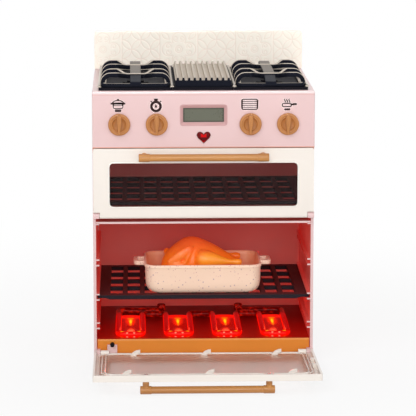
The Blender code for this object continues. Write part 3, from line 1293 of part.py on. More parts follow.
def make_grate(name, x):
    floor = INSERT_FLOOR + GAP
    top = floor + GRATE_HEIGHT
    front = FRONT + GRATE_FRONT_INSET
    back = front + GRATE_LENGTH
    half = GRATE_WIDTH / 2
    bar = GRATE_FRAME_BAR
    radius = GRATE_CORNER_RADIUS
    outer = rounded_rectangle((x - half, front), (x + half, back), radius, 3)
    inner = rounded_rectangle((x - half + bar, front + bar), (x + half - bar, back - bar), radius / 2, 2)
    bm = bmesh.new()
    add_prism(bm, [outer, inner], floor, floor + GRATE_FRAME_HEIGHT, "Z")
    grate = add_object(name, bm, finish=BLACK)
    low = floor + GRATE_FRAME_HEIGHT / 2
    for i, (centre, lean) in enumerate((c, lean) for c in burner_centres() for lean in (-1, 1)):
        bm = bmesh.new()
        add_arch(bm, x, centre, lean, low, top)
        fuse(grate, add_object(f"{name}_arch_{i}", bm))
    count = 14
    ends = (front + STRAP_DROP, back - STRAP_DROP)
    ys = [ends[0] + (ends[1] - ends[0]) * i / count for i in range(count + 1)]
    over = [(ends[0], low), *[(y, strap_top(y, top)) for y in ys], (ends[1], low)]
    inside = [min(max(y, ends[0] + STRAP_BAR), ends[1] - STRAP_BAR) for y in ys]
    under = [(inside[0], low), *[(y, strap_top(y, top) - STRAP_BAR) for y in inside], (inside[-1], low)]
    bm = bmesh.new()
    add_bent_bar(bm, over, under, lambda u, v, side: (x + side * STRAP_WIDTH / 2, u, v))
    fuse(grate, add_object(name + "_strap", bm))


def make_griddle():
    """A ribbed plate: the side view across the ribs, extruded front to back."""
    floor = INSERT_FLOOR + GAP
    groove = floor + GRIDDLE_BODY_HEIGHT
    crest = groove + GRIDDLE_RIB_HEIGHT
    half = GRIDDLE_WIDTH / 2
    outline = [(half, floor), (half, groove)]
    for i in reversed(range(GRIDDLE_RIBS)):
        x = (i - (GRIDDLE_RIBS - 1) / 2) * GRIDDLE_RIB_PITCH
        ends = (x + GRIDDLE_RIB_WIDTH / 2, x - GRIDDLE_RIB_WIDTH / 2)
        outline += [(ends[0], groove), (ends[0], crest), (ends[1], crest), (ends[1], groove)]
    outline += [(-half, groove), (-half, floor)]
    front = FRONT + GRIDDLE_FRONT_INSET
    bm = bmesh.new()
    add_prism(bm, [outline], front, front + GRIDDLE_LENGTH, "Y")
    add_object("griddle_plate", bm, finish=CHAMPAGNE)


def make_backsplash():
    foot = DECK_TOP + GAP
    top = DECK_TOP + BACKSPLASH_HEIGHT
    radius = BACKSPLASH_RADIUS
    outline = [
        (-HALF_WIDTH, foot), (HALF_WIDTH, foot),
        *arc((HALF_WIDTH - radius, top - radius), radius, 0, 90, 5),
        *arc((radius - HALF_WIDTH, top - radius), radius, 90, 180, 5),
    ]
    bm = bmesh.new()
    add_prism(bm, [outline], HALF_DEPTH - BACKSPLASH_THICKNESS, HALF_DEPTH, "Y")
    add_object("backsplash", bm, finish=CREAM)


def battery_box_sizes():
    """Half width, low and high of the compartment's inside, and the height of its cover's screw."""
    half = BATTERY_PITCH + BATTERY_RADIUS + BATTERY_ROOM
    low = BATTERY_LOW_Z - BATTERY_ROOM
    high = BATTERY_LOW_Z + BATTERY_LENGTH + BATTERY_NUB + BATTERY_ROOM
    return half, low, high, high + BOX_WALL / 2 + TAB_BOSS_RADIUS


def make_rear_cover():
    half = INNER_HALF - GAP
    top = DECK_TOP - DECK_THICKNESS - GAP
    box_half, box_low, box_high, screw_z = battery_box_sizes()
    tab_top = box_high + BATTERY_COVER_TAB
    opening = [
        (-box_half, box_low), (box_half, box_low), (box_half, box_high), (BATTERY_TAB_HALF_WIDTH, box_high),
        (BATTERY_TAB_HALF_WIDTH, tab_top), (-BATTERY_TAB_HALF_WIDTH, tab_top),
        (-BATTERY_TAB_HALF_WIDTH, box_high), (-box_half, box_high),
    ]
    loops = [rounded_rectangle((-half, GAP), (half, top), GAP, 1), opening]
    for i in range(SPEAKER_SLOTS):
        offset = (i - (SPEAKER_SLOTS - 1) / 2) * SPEAKER_SLOT_PITCH
        reach = math.sqrt(SPEAKER_CONE_RADIUS**2 - offset**2)
        z = SPEAKER_Z + offset
        slot = centred_rectangle(2 * reach, SPEAKER_SLOT_HEIGHT, SPEAKER_SLOT_HEIGHT / 2 - WELD, (0, z))
        loops.append(slot)
    for side, x in both_sides(HALF_WIDTH - BOSS_INSET_X):
        for z in (BOSS_LOW_Z, BOSS_HIGH_Z):
            loops.append(arc((x, z), SCREW_RADIUS + SCREW_CLEARANCE, 0, 315, 7))
    bm = bmesh.new()
    add_prism(bm, loops, COVER_FRONT, HALF_DEPTH, "Y")
    add_object("rear_cover", bm, finish=PINK)

    fit = GAP
    cover = [
        (-box_half + fit, box_low + fit), (box_half - fit, box_low + fit), (box_half - fit, box_high - fit),
        (BATTERY_TAB_HALF_WIDTH - fit, box_high - fit), (BATTERY_TAB_HALF_WIDTH - fit, tab_top - fit),
        (fit - BATTERY_TAB_HALF_WIDTH, tab_top - fit), (fit - BATTERY_TAB_HALF_WIDTH, box_high - fit),
        (-box_half + fit, box_high - fit),
    ]
    bm = bmesh.new()
    hole = arc((0, screw_z), SCREW_RADIUS + SCREW_CLEARANCE, 0, 315, 7)
    add_prism(bm, [cover, hole], COVER_FRONT, HALF_DEPTH, "Y")
    add_object("battery_cover", bm, finish=PINK)

    head_seat = HALF_DEPTH + GAP
    screw = screw_profile(SCREW_LENGTH)
    turned("battery_cover_screw", screw, 8, (0, head_seat, screw_z), TO_BACK, None, STEEL)
    places = [(x, z) for side, x in both_sides(HALF_WIDTH - BOSS_INSET_X) for z in (BOSS_LOW_Z, BOSS_HIGH_Z)]
    for i, (x, z) in enumerate(places):
        turned(f"rear_cover_screw_{i + 1}", screw, 8, (x, head_seat, z), TO_BACK, None, STEEL)


def make_battery_box():
    half, low, high, screw_z = battery_box_sizes()
    back = COVER_FRONT - GAP
    floor = back - 2 * BATTERY_RADIUS - GAP * 2
    front = floor - BOX_WALL
    bm = bmesh.new()
    add_block(bm, (-half - BOX_WALL, front, low - BOX_WALL), (half + BOX_WALL, back, high + BOX_WALL))
    box = add_object("battery_box", bm, finish=BLACK)
    bm = bmesh.new()
    add_cylinder(bm, (0, back, screw_z), (0, -1, 0), TAB_BOSS_RADIUS, SCREW_LENGTH, 12)
    fuse(box, add_object("battery_box_boss", bm))
    bm = bmesh.new()
    add_block(bm, (-half, floor, low), (half, back + OVERRUN, high))
    start = (0, back + OVERRUN, screw_z)
    deep = OVERRUN + SCREW_LENGTH - HEAD_HEIGHT
    add_cylinder(bm, start, (0, -1, 0), SCREW_RADIUS + SCREW_CLEARANCE, deep, 8)
    carve(box, add_object("battery_box_hollows", bm))

    profile = [
        (0, BATTERY_LENGTH + BATTERY_NUB), (BATTERY_NUB_RADIUS, BATTERY_LENGTH + BATTERY_NUB),
        (BATTERY_NUB_RADIUS, BATTERY_LENGTH), (BATTERY_RADIUS, BATTERY_LENGTH), (BATTERY_RADIUS, 0), (0, 0),
    ]
    y = floor + GAP + BATTERY_RADIUS
    for i in range(3):
        turned(f"battery_{i + 1}", profile, 14, ((i - 1) * BATTERY_PITCH, y, BATTERY_LOW_Z), finish=STEEL)


def make_speaker():
    """Local +Z faces the slots in the rear cover."""
    profile = [
        (0, -SPEAKER_DISH), (SPEAKER_MAGNET_RADIUS / 2, -SPEAKER_DISH), (SPEAKER_CONE_RADIUS, -GAP),
        (SPEAKER_CONE_RADIUS + SPEAKER_FLANGE / 2, 0), (SPEAKER_RADIUS, 0),
        (SPEAKER_RADIUS, -SPEAKER_FLANGE),
        (SPEAKER_CONE_RADIUS, -SPEAKER_FLANGE), (SPEAKER_MAGNET_RADIUS, -SPEAKER_DEPTH / 2),
        (SPEAKER_MAGNET_RADIUS, -SPEAKER_DEPTH), (0, -SPEAKER_DEPTH),
    ]
    turned("speaker", profile, 16, (0, COVER_FRONT - GAP, SPEAKER_Z), TO_BACK, None, BLACK)


def pan_ring(inset, z):
    """A rounded rectangle of the pan at height z, set in from its rim."""
    radius = max(PAN_CORNER_RADIUS - inset, PAN_WALL)
    outline = centred_rectangle(PAN_WIDTH - 2 * inset, PAN_DEPTH - 2 * inset, radius, steps=4)
    return [(x, y, z) for x, y in outline]


def make_pan():
    """A drawn pan: rings from the floor's rounded edge to the lip, given their wall by Solidify."""
    foot = PAN_FOOT_INSET
    rounding = PAN_FLOOR_ROUND
    lip_z = PAN_HEIGHT - PAN_LIP_HEIGHT
    levels = [
        (foot + rounding, 0), (foot + rounding * 0.35, rounding * 0.2), (foot, rounding),
        (PAN_LIP * 2, lip_z - PAN_LIP), (PAN_LIP, lip_z), (0, lip_z + PAN_LIP), (0, PAN_HEIGHT),
    ]
    bm = bmesh.new()
    rings = [[bm.verts.new(point) for point in pan_ring(*level)] for level in levels]
    for low, high in zip(rings, rings[1:]):
        for i in range(len(low)):
            bm.faces.new((low[i - 1], low[i], high[i], high[i - 1]))
    bm.faces.new(reversed(rings[0]))
    pan = add_object("roasting_pan", bm, (0, PAN_Y, PAN_Z), finish=PAN_CREAM)
    wall = pan.modifiers.new("wall", "SOLIDIFY")
    wall.thickness = PAN_WALL
    wall.offset = -1
    wall.use_even_offset = True

    top = PAN_HEIGHT - PAN_HANDLE_DROP
    bm = bmesh.new()
    for side in (-1, 1):
        near = PAN_WIDTH / 2 - PAN_WALL / 2 - PAN_LIP
        far = PAN_WIDTH / 2 + PAN_HANDLE_REACH
        half = PAN_HANDLE_WIDTH / 2
        bar = PAN_HANDLE_BAR
        outer = rounded_rectangle((near, -half), (far, half), bar / 3, 3)
        hole = rounded_rectangle((PAN_WIDTH / 2 + PAN_LIP, bar - half), (far - bar, half - bar), bar / 4, 2)
        loops = [[(side * x, y) for x, y in loop] for loop in (outer, hole)]
        add_prism(bm, loops, top - PAN_HANDLE_THICKNESS, top, "Z")
    fuse(pan, add_object("pan_handles", bm, parent=pan))


def make_roast():
    """A roast bird with legs and wings: lumps fused together and cut flat where they lie in the pan."""
    at = (ROAST_X, PAN_Y, PAN_Z + PAN_WALL + GAP)
    lumps = []
    for i, (centre, radii, tilt) in enumerate(ROAST_LUMP_SHARES):
        bm = bmesh.new()
        large = max(radii) > sum(radii) / 4 and i < 2
        bmesh.ops.create_uvsphere(bm, u_segments=16 if large else 9, v_segments=9 if large else 6, radius=1)
        bmesh.ops.scale(bm, vec=[r * ROAST_LENGTH for r in radii], verts=bm.verts)
        bmesh.ops.rotate(bm, matrix=Matrix.Rotation(math.radians(tilt), 3, "Y"), verts=bm.verts)
        bmesh.ops.translate(bm, vec=[c * ROAST_LENGTH for c in centre], verts=bm.verts)
        finish = ROAST_ORANGE if i == 0 else None
        lumps.append(add_object("roast" if i == 0 else f"roast_lump_{i}", bm, at, finish=finish))
    for lump in lumps[1:]:
        fuse(lumps[0], lump)
    bm = bmesh.new()
    reach = ROAST_LENGTH
    add_block(bm, (-reach, -reach, -reach), (reach, reach, 0))
    carve(lumps[0], add_object("roast_flat", bm, at))


clear_scene()
PARTS = collection("toy_oven")
CUTTERS = collection("cutters")
PINK = material("pink_plastic", (238, 205, 205), 0.42)
DUSTY_PINK = material("dusty_pink_plastic", (205, 168, 170), 0.4)
CREAM = material("cream_plastic", (240, 233, 226), 0.4)
TAN = material("tan_plastic", (193, 134, 78), 0.38)
HEATER_TAN = material("heater_tan_plastic", (214, 164, 118), 0.45)
BLACK = material("black_plastic", (30, 30, 35), 0.4)
RACK_BLACK = material("rack_black_plastic", (36, 34, 38), 0.45)
CHAMPAGNE = material("champagne_paint", (190, 178, 165), 0.35, 0.3)
CLEAR = material("clear_pane", (214, 196, 196), 0.08, 0.0, 0.35)
LENS = material("display_lens", (104, 108, 92), 0.2)
HEART_RED = material("heart_red", (120, 14, 22), 0.15)
HEATER_RED = material("heater_red", (200, 20, 14), 0.15, 0.0, 0.8)
AMBER = material("light_amber", (255, 170, 60), 0.2)
STEEL = material("plated_steel", (190, 190, 192), 0.3, 1.0)
BOARD_GREEN = material("board_green", (40, 90, 60), 0.5)
PAN_CREAM = material("pan_speckled", (243, 208, 182), 0.45)
ROAST_ORANGE = material("roast_orange", (240, 110, 20), 0.35)

make_housing()
make_bottom_panel()
make_divider()
make_back_wall()
make_backsplash()
make_inserts()
make_griddle()
make_display()
make_heart_button()
make_control_board()
for knob_name, knob_x in (
    ("knob_outer_left", -OUTER_KNOB_X),
    ("knob_inner_left", -INNER_KNOB_X),
    ("knob_inner_right", INNER_KNOB_X),
    ("knob_outer_right", OUTER_KNOB_X),
):
    make_knob(knob_name, knob_x)
make_heater_tray()
make_lights()
make_heating_element()
make_door_switch()
make_racks()
make_door(
    "upper", UPPER_AXIS_Z, 0, UPPER_DOOR_HEIGHT, UPPER_HOOK_Z,
    (UPPER_WINDOW_LOW, UPPER_WINDOW_HIGH), UPPER_PANE_LOW,
)
make_door(
    "lower", LOWER_AXIS_Z, LOWER_DOOR_OPENING, LOWER_DOOR_HEIGHT, LOWER_HOOK_Z,
    (LOWER_WINDOW_LOW, LOWER_WINDOW_HIGH), LOWER_PANE_LOW,
)
make_rear_cover()
make_battery_box()
make_speaker()
make_pan()
make_roast()
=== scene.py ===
import math

import bmesh
import bpy
import numpy as np
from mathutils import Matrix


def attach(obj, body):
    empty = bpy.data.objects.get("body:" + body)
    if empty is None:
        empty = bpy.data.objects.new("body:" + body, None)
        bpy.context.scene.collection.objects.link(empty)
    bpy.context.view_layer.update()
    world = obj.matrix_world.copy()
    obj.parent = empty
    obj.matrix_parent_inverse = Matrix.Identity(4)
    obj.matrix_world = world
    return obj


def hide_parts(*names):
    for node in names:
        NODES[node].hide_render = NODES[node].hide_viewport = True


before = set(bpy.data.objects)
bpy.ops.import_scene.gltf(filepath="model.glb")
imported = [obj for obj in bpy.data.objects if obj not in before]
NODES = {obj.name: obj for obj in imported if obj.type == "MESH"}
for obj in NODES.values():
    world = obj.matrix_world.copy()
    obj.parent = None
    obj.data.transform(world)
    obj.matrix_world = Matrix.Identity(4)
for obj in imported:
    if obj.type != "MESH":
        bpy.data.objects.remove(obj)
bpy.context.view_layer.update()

# Lengths below are in millimetres; put() turns them into metres. Materials work in metres.
MM = 0.001
FRONT = -94.3
DOOR_TILT = math.radians(2.7345)
HINGE_Y, LOWER_HINGE_Z, UPPER_HINGE_Z = -91.2, 10.2, 144.8
LOWER_HEIGHT, UPPER_HEIGHT = 131.2, 65.2
DECK_FLOOR = 267.9
KNOB_Z, HEART_Z, BEZEL_Z, LENS_Z = 233.3, 220.7, 241.9, 241.95
ELEMENT_Z = 25.7
LOOPS = np.array([-70.5, -23.5, 23.5, 70.5])
PAN_Y, PAN_Z = -40.8, 65.7


# Grids of points, and the faces between them

def loft(rings, loop=False, mark=None):
    """Rings of equal count, shape (m, n, 3), joined by quads; unless they loop, a face closes each end ring."""
    rings = np.asarray(rings, float)
    m, n = rings.shape[:2]
    row = np.arange(m if loop else m - 1)[:, None]
    column = np.arange(n)[None, :]
    beside, above = (column + 1) % n, (row + 1) % m
    quads = np.stack([row * n + column, row * n + beside, above * n + beside, above * n + column], -1)
    faces = quads.reshape(-1, 4).tolist()
    if not loop:
        faces += [list(range(n))[::-1], list(range((m - 1) * n, m * n))]
    mark = np.zeros(m * n) if mark is None else np.broadcast_to(mark, (m, n)).reshape(-1)
    return rings.reshape(-1, 3), faces, mark


def grid(rows, columns):
    """The quads between neighbouring points of a grid, by row and column, and the points round its edge."""
    index = np.arange(rows * columns).reshape(rows, columns)
    quads = np.stack([index[:-1, :-1], index[:-1, 1:], index[1:, 1:], index[1:, :-1]], -1)
    rim = np.concatenate([index[0], index[1:, -1], index[-1, -2::-1], index[-2:0:-1, 0]])
    return quads, rim


def band(one, two):
    """The quads between two closed lines of points, given by their numbers."""
    return np.stack([one, np.roll(one, -1), np.roll(two, -1), two], -1)


def joined(shapes):
    """Several closed shapes as one."""
    points, faces, marks, count = [], [], [], 0
    for some, quads, mark in shapes:
        points.append(some)
        marks.append(mark)
        faces += [[i + count for i in face] for face in quads]
        count += len(some)
    return np.concatenate(points), faces, np.concatenate(marks)


def moved(shape, place):
    """The shape with its points put through the function place."""
    return place(shape[0]), shape[1], shape[2]


def outline(half_x, half_y, radius, steps=6):
    """A rounded rectangle, anticlockwise: each corner is a quarter circle about its own centre."""
    turn = np.linspace(0, math.pi / 2, steps + 1)
    corners = []
    for i, (sx, sy) in enumerate(((1, 1), (-1, 1), (-1, -1), (1, -1))):
        angle = turn + i * math.pi / 2
        centre = (sx * (half_x - radius), sy * (half_y - radius))
        corners.append(np.stack([centre[0] + radius * np.cos(angle), centre[1] + radius * np.sin(angle)], -1))
    return np.concatenate(corners)


def around(steps):
    """Evenly spaced angles, once round."""
    return np.arange(steps) * 2 * math.pi / steps


def circle(radius, steps):
    """A circle of evenly spaced points, anticlockwise."""
    angle = around(steps)
    return np.stack([radius * np.cos(angle), radius * np.sin(angle)], -1)


def sweep(path, section, side, loop=False, mark=None):
    """A section carried along a path: its first axis lies along side, its second in the path's plane."""
    path = np.asarray(path, float)
    if loop:
        along = np.roll(path, -1, 0) - np.roll(path, 1, 0)
    else:
        along = np.gradient(path, axis=0)
    along /= np.linalg.norm(along, axis=1)[:, None]
    side = np.broadcast_to(np.asarray(side, float), path.shape)
    up = np.cross(side, along)
    up /= np.linalg.norm(up, axis=1)[:, None]
    rings = path[:, None] + section[None, :, :1] * side[:, None] + section[None, :, 1:] * up[:, None]
    return loft(rings, loop, mark)


def turned(profile, steps, place, mark=None):
    """A profile of (radius, height) turned about the height axis; place maps (x, y, height) to the object."""
    profile = np.asarray(profile, float)[:, None]
    ring = profile[..., :1] * circle(1.0, steps)
    height = np.broadcast_to(profile[..., 1:], (*ring.shape[:2], 1))
    return moved(loft(np.concatenate([ring, height], -1), mark=mark), place)


def filleted(corners, radii, steps=8):
    """A polyline in a level plane with each inner corner rounded by an arc of its own radius."""
    corners = np.asarray(corners, float)
    path = [corners[:1]]
    for before, here, after, radius in zip(corners, corners[1:], corners[2:], radii):
        one = (before - here) / np.linalg.norm(before - here)
        two = (after - here) / np.linalg.norm(after - here)
        half = math.acos(np.clip(one @ two, -1, 1)) / 2
        middle = (one + two) / np.linalg.norm(one + two)
        centre = here + middle * radius / math.sin(half)
        spread = math.pi / 2 - half
        angle = np.linspace(-spread, spread, steps + 1)[:, None]
        across = (two - one) / np.linalg.norm(two - one)
        path.append(centre - middle * radius * np.cos(angle) + across * radius * np.sin(angle))
    path.append(corners[-1:])
    return np.concatenate(path)


def level(points, height):
    """Points drawn in plan, all at one height."""
    return np.column_stack([points, np.full(len(points), float(height))])


def standing(points, y):
    """Points drawn in x and height, all at the depth y."""
    return np.insert(np.asarray(points, float), 1, y, axis=1)


def resampled(path, step, loop=False):
    """The same line with points about one step apart."""
    path = np.asarray(path, float)
    ends = np.vstack([path, path[:1]]) if loop else path
    run = np.concatenate([[0], np.cumsum(np.linalg.norm(np.diff(ends, axis=0), axis=1))])
    count = max(int(run[-1] / step), 2)
    at = np.linspace(0, run[-1], count + 1)[: count if loop else None]
    return np.stack([np.interp(at, run, ends[:, i]) for i in range(ends.shape[1])], -1)


def smoothstep(value):
    """Three times the square less twice the cube: 0 to 1 with soft ends."""
    value = np.clip(value, 0, 1)
    return value * value * (3 - 2 * value)


# Places: where a door's own axes lie, and what faces the front

def on_lower_door(p):
    """The open door at rest, turned about its hinge so that its inside looks up."""
    c, s = math.cos(DOOR_TILT), math.sin(DOOR_TILT)
    x, y, z = p[:, 0], p[:, 1], p[:, 2]
    return np.stack([x, HINGE_Y - z * c + y * s, LOWER_HINGE_Z + z * s + y * c], -1)


def on_upper_door(p):
    """The closed door at rest, upright from its hinge."""
    return p + np.array([0, HINGE_Y, UPPER_HINGE_Z])


def out_of_front(x, z):
    """Local x to the right, y up and height towards the front."""
    return lambda p: np.stack([x + p[:, 0], FRONT - p[:, 2], z + p[:, 1]], -1)


def upright(x, y, z):
    return lambda p: p + np.array([x, y, z])


def put(name, shape, finish, body, replace=(), sharp=38):
    """Makes the piece, turns its faces outwards, and lets it ride on its body. sharp is in degrees."""
    points, faces, mark = shape
    mesh = bpy.data.meshes.new(name)
    mesh.from_pydata((points * MM).tolist(), [], faces)
    mesh.attributes.new("mark", "FLOAT", "POINT").data.foreach_set("value", mark.astype(np.float32))
    bm = bmesh.new()
    bm.from_mesh(mesh)
    bmesh.ops.recalc_face_normals(bm, faces=bm.faces)
    bm.to_mesh(mesh)
    bm.free()
    mesh.polygons.foreach_set("use_smooth", np.ones(len(mesh.polygons), bool))
    mesh.set_sharp_from_angle(angle=math.radians(sharp))
    mesh.materials.append(finish)
    piece = bpy.data.objects.new(name, mesh)
    bpy.context.scene.collection.objects.link(piece)
    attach(piece, body)
    if replace:
        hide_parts(*replace)
    return piece


# Materials

def paint(red, green, blue):
    """A colour given as a screen shows it, as the linear values that the shader takes."""
    value = np.array([red, green, blue]) / 255
    linear = np.where(value <= 0.04045, value / 12.92, ((value + 0.055) / 1.055) ** 2.4)
    return (*linear.tolist(), 1)


class Tree:
    """Adds nodes to one material or group and joins them."""

    def __init__(self, tree):
        self.tree = tree

    def add(self, kind, inputs=(), **settings):
        node = self.tree.nodes.new(kind)
        for key, value in settings.items():
            setattr(node, key, value)
        for key, value in dict(inputs).items():
            self.feed(node.inputs[key], value)
        return node

    def feed(self, socket, value):
        if isinstance(value, bpy.types.NodeSocket):
            self.tree.links.new(value, socket)
        else:
            socket.default_value = value

    def math(self, operation, *values, clamp=False):
        """One operation on a value, or on several, two by two."""
        if len(values) > 2:
            values = (self.math(operation, *values[:-1]), values[-1])
        return self.add("ShaderNodeMath", dict(enumerate(values)), operation=operation, use_clamp=clamp).outputs[0]

    def times(self, *values):
        return self.math("MULTIPLY", *values)

    def plus(self, *values):
        return self.math("ADD", *values)

    def size(self, value):
        return self.math("ABSOLUTE", value)

    def mix(self, share, one, two):
        """From one colour to two; a colour of three numbers is one for paint()."""
        node = self.add("ShaderNodeMix", data_type="RGBA")
        for index, value in ((0, share), (6, one), (7, two)):
            plain = isinstance(value, tuple) and len(value) == 3
            self.feed(node.inputs[index], paint(*value) if plain else value)
        return node.outputs[2]

    def layers(self, base, *coats):
        """Coats of (share, colour), one over the other."""
        for share, colour in coats:
            base = self.mix(share, base, colour)
        return base

    def span(self, value, low, high, to_low=0.0, to_high=1.0):
        """A soft step from to_low at low to to_high at high."""
        inputs = {"Value": value, "From Min": low, "From Max": high, "To Min": to_low, "To Max": to_high}
        return self.add("ShaderNodeMapRange", inputs, interpolation_type="SMOOTHSTEP").outputs[0]

    def place(self):
        return self.add("ShaderNodeTexCoord").outputs["Object"]

    def axes(self):
        return self.add("ShaderNodeSeparateXYZ", {"Vector": self.place()}).outputs

    def mark(self):
        """The piece's own mark attribute."""
        return self.add("ShaderNodeAttribute", attribute_name="mark").outputs["Fac"]

    def noise(self, scale, detail=3.0, roughness=0.55, vector=None):
        where = self.place() if vector is None else vector
        inputs = {"Vector": where, "Scale": scale, "Detail": detail, "Roughness": roughness}
        return self.add("ShaderNodeTexNoise", inputs).outputs["Fac"]

    def bump(self, height, distance, strength=1.0):
        inputs = {"Height": height, "Distance": distance, "Strength": strength}
        return self.add("ShaderNodeBump", inputs).outputs["Normal"]


def group(name, inputs, outputs):
    """A shader node group with named sockets; gives its tree, its inputs and its output node."""
    tree = bpy.data.node_groups.new(name, "ShaderNodeTree")
    for word, kind, value in inputs:
        socket = tree.interface.new_socket(name=word, in_out="INPUT", socket_type=kind)
        socket.default_value = value
    for word, kind in outputs:
        tree.interface.new_socket(name=word, in_out="OUTPUT", socket_type=kind)
    work = Tree(tree)
    return tree, work, work.add("NodeGroupInput").outputs, work.add("NodeGroupOutput").inputs


def moulded_group():
    """Grain of a moulded surface: fine noise for the bump, broad noise for colour and gloss."""
    inputs = [("Colour", "NodeSocketColor", (1, 1, 1, 1)), ("Roughness", "NodeSocketFloat", 0.4),
              ("Grain", "NodeSocketFloat", 900.0), ("Depth", "NodeSocketFloat", 0.00002),
              ("Mottle", "NodeSocketFloat", 0.05)]
    outputs = [("Colour", "NodeSocketColor"), ("Roughness", "NodeSocketFloat"), ("Normal", "NodeSocketVector")]
    tree, work, given, made = group("moulded grain", inputs, outputs)
    fine = work.noise(given["Grain"], 2.0)
    broad = work.noise(38.0, 4.0)
    streak = work.noise(9.0, 2.0)
    shade = work.plus(work.times(broad, 0.6), work.times(streak, 0.4))
    value = work.plus(work.math("SUBTRACT", 1.0, given["Mottle"]), work.times(shade, given["Mottle"], 2.0))
    scale = work.add("ShaderNodeVectorMath", {0: given["Colour"], "Scale": value}, operation="SCALE")
    work.feed(made["Colour"], scale.outputs["Vector"])
    shift = work.times(work.plus(broad, fine, -1.0), 0.16)
    work.feed(made["Roughness"], work.math("ADD", given["Roughness"], shift, clamp=True))
    work.feed(made["Normal"], work.bump(fine, given["Depth"]))
    return tree


def glow_group():
    """The heater's red light in the cavity, painted: where its walls lie (Mask), the red-lit colour painted over
    theirs (Wall), which is redder below the divider, and how much painted light they catch (Near), most by the tray
    and low on the side walls."""
    outputs = [("Mask", "NodeSocketFloat"), ("Near", "NodeSocketFloat"), ("Wall", "NodeSocketColor")]
    tree, work, _, made = group("cavity glow", [], outputs)
    x, y, z = work.axes()
    across = work.size(x)
    inside = work.times(work.span(across, 0.1046, 0.1040), work.span(y, -0.0873, -0.0866),
                        work.span(y, 0.0695, 0.0690), work.span(z, 0.0018, 0.0024), work.span(z, 0.2120, 0.2100))
    below = work.span(z, 0.1385, 0.1380)
    near = work.times(work.span(z, 0.080, 0.015, 0.0, 0.9), work.span(across, 0.030, 0.100, 0.25, 1.0))
    wall = work.times(work.span(across, 0.1008, 0.1016), below, 0.8)
    work.feed(made["Mask"], inside)
    work.feed(made["Wall"], work.mix(below, (226, 158, 150), (212, 124, 114)))
    work.feed(made["Near"], work.times(inside, work.plus(near, wall, work.times(below, 0.35), 0.25)))
    return tree


MOULDED = moulded_group()
GLOW = glow_group()


def material(name):
    made = bpy.data.materials.new(name)
    made.use_nodes = True
    return made, Tree(made.node_tree), made.node_tree.nodes["Principled BSDF"]


def fix(shader, **values):
    """Sets what is the same all over the surface on the shader's own sockets."""
    for key, value in values.items():
        shader.inputs[key.replace("_", " ")].default_value = value


def finish(name, colour, rough=0.4, grain=900.0, depth=0.00002, mottle=0.05, recolour=None, glow=0.0, **fixed):
    """A moulded or painted surface. recolour may change its colour by place; glow paints the heater's red light into
    its colour and its emission inside the cavity.
    """
    made, work, shader = material(name)
    base = paint(*colour)
    if recolour:
        base = recolour(work, base)
    if glow:
        lit = work.add("ShaderNodeGroup", node_tree=GLOW).outputs
        base = work.mix(lit["Mask"], base, lit["Wall"])
        work.feed(shader.inputs["Emission Color"], work.mix(lit["Near"], (0, 0, 0), (178, 12, 6)))
        fix(shader, Emission_Strength=glow)
    inputs = {"Colour": base, "Roughness": rough, "Grain": grain, "Depth": depth, "Mottle": mottle}
    skin = work.add("ShaderNodeGroup", inputs, node_tree=MOULDED).outputs
    work.feed(shader.inputs["Base Color"], skin["Colour"])
    work.feed(shader.inputs["Roughness"], skin["Roughness"])
    work.feed(shader.inputs["Normal"], skin["Normal"])
    fix(shader, **fixed)
    return made


def marks(other, low=0.45, high=0.55):
    """A recolour that gives the other colour where the piece's mark is high."""
    return lambda work, base: work.mix(work.span(work.mark(), low, high), base, other)


def pink_seams_and_painted_light(work, base):
    """A salmon glow painted into the seam above the upper door, as light that comes through the gap; a painted
    highlight along the deck's front edge; and a salmon line under that.
    """
    _, y, z = work.axes()
    # Painted light: the seam is painted salmon as light through the gap, and edge is a painted highlight along the
    # deck's front.
    seam = work.times(work.span(z, 0.2118, 0.2112), work.span(z, 0.2050, 0.2060), work.span(y, -0.0850, -0.0860))
    edge = work.times(work.span(z, 0.2622, 0.2630), work.span(y, -0.0915, -0.0935), 0.7)
    line = work.times(work.span(z, 0.2610, 0.2612), work.span(z, 0.2618, 0.2616), 0.4)
    return work.layers(base, (seam, (224, 156, 136)), (edge, (252, 230, 230)), (line, (214, 150, 142)))


def tray_colours_and_painted_light(work, base):
    """The heater tray is tan in front, with a painted highlight along its upper edge, and painted red light from the
    heater on top, brighter towards the front.
    """
    _, y, z = work.axes()
    # Painted light: edge is a painted highlight, and top takes the heater's red light, painted, brighter towards the
    # front.
    edge = work.times(work.span(z, 0.0203, 0.0212), 0.6)
    top = work.times(work.span(z, 0.0215, 0.0221), work.span(y, -0.0858, -0.0850))
    red = work.mix(work.span(y, 0.02, -0.08), (140, 0, 0), (186, 26, 12))
    return work.layers(base, (edge, (244, 170, 104)), (top, red))


def rack_colours(work, base):
    """The racks' upper faces catch the red light; their edges stay a bluish black."""
    z = work.axes()[2]
    lower = work.times(work.span(z, 0.0651, 0.0654), work.span(z, 0.0800, 0.0790))
    return work.mix(work.math("MAXIMUM", lower, work.span(z, 0.1571, 0.1574)), base, (78, 40, 42))


def lengthwise(work, base):
    """Bands along x, as in a turned rod of two mixed tans."""
    stretched = work.add("ShaderNodeVectorMath", {0: work.place(), 1: (6.0, 340.0, 340.0)}, operation="MULTIPLY")
    streaks = work.noise(1.0, 2.0, 0.5, stretched.outputs["Vector"])
    return work.mix(work.span(streaks, 0.38, 0.62), base, (178, 117, 58))


def roast_colours(work, base):
    """A red glaze on the crown, orange flanks, paler orange on the thighs and wings, and browned spots."""
    x, y, z = work.axes()
    off_middle = work.size(work.plus(y, -PAN_Y * MM))
    low = work.times(work.span(off_middle, 0.014, 0.020), work.span(z, 0.1065, 0.1020))
    leg = work.times(low, work.span(x, -0.010, 0.002))
    wing = work.times(low, work.span(x, -0.014, -0.020), 0.8)
    high = work.span(work.plus(z, work.times(work.noise(45.0), 0.012)), 0.102, 0.117)
    brown = work.span(work.noise(160.0, 4.0), 0.62, 0.85, 0.0, 0.5)
    return work.layers(base, (leg, (255, 168, 44)), (wing, (255, 142, 62)), (high, (255, 112, 50)),
                       (brown, (206, 66, 14)))


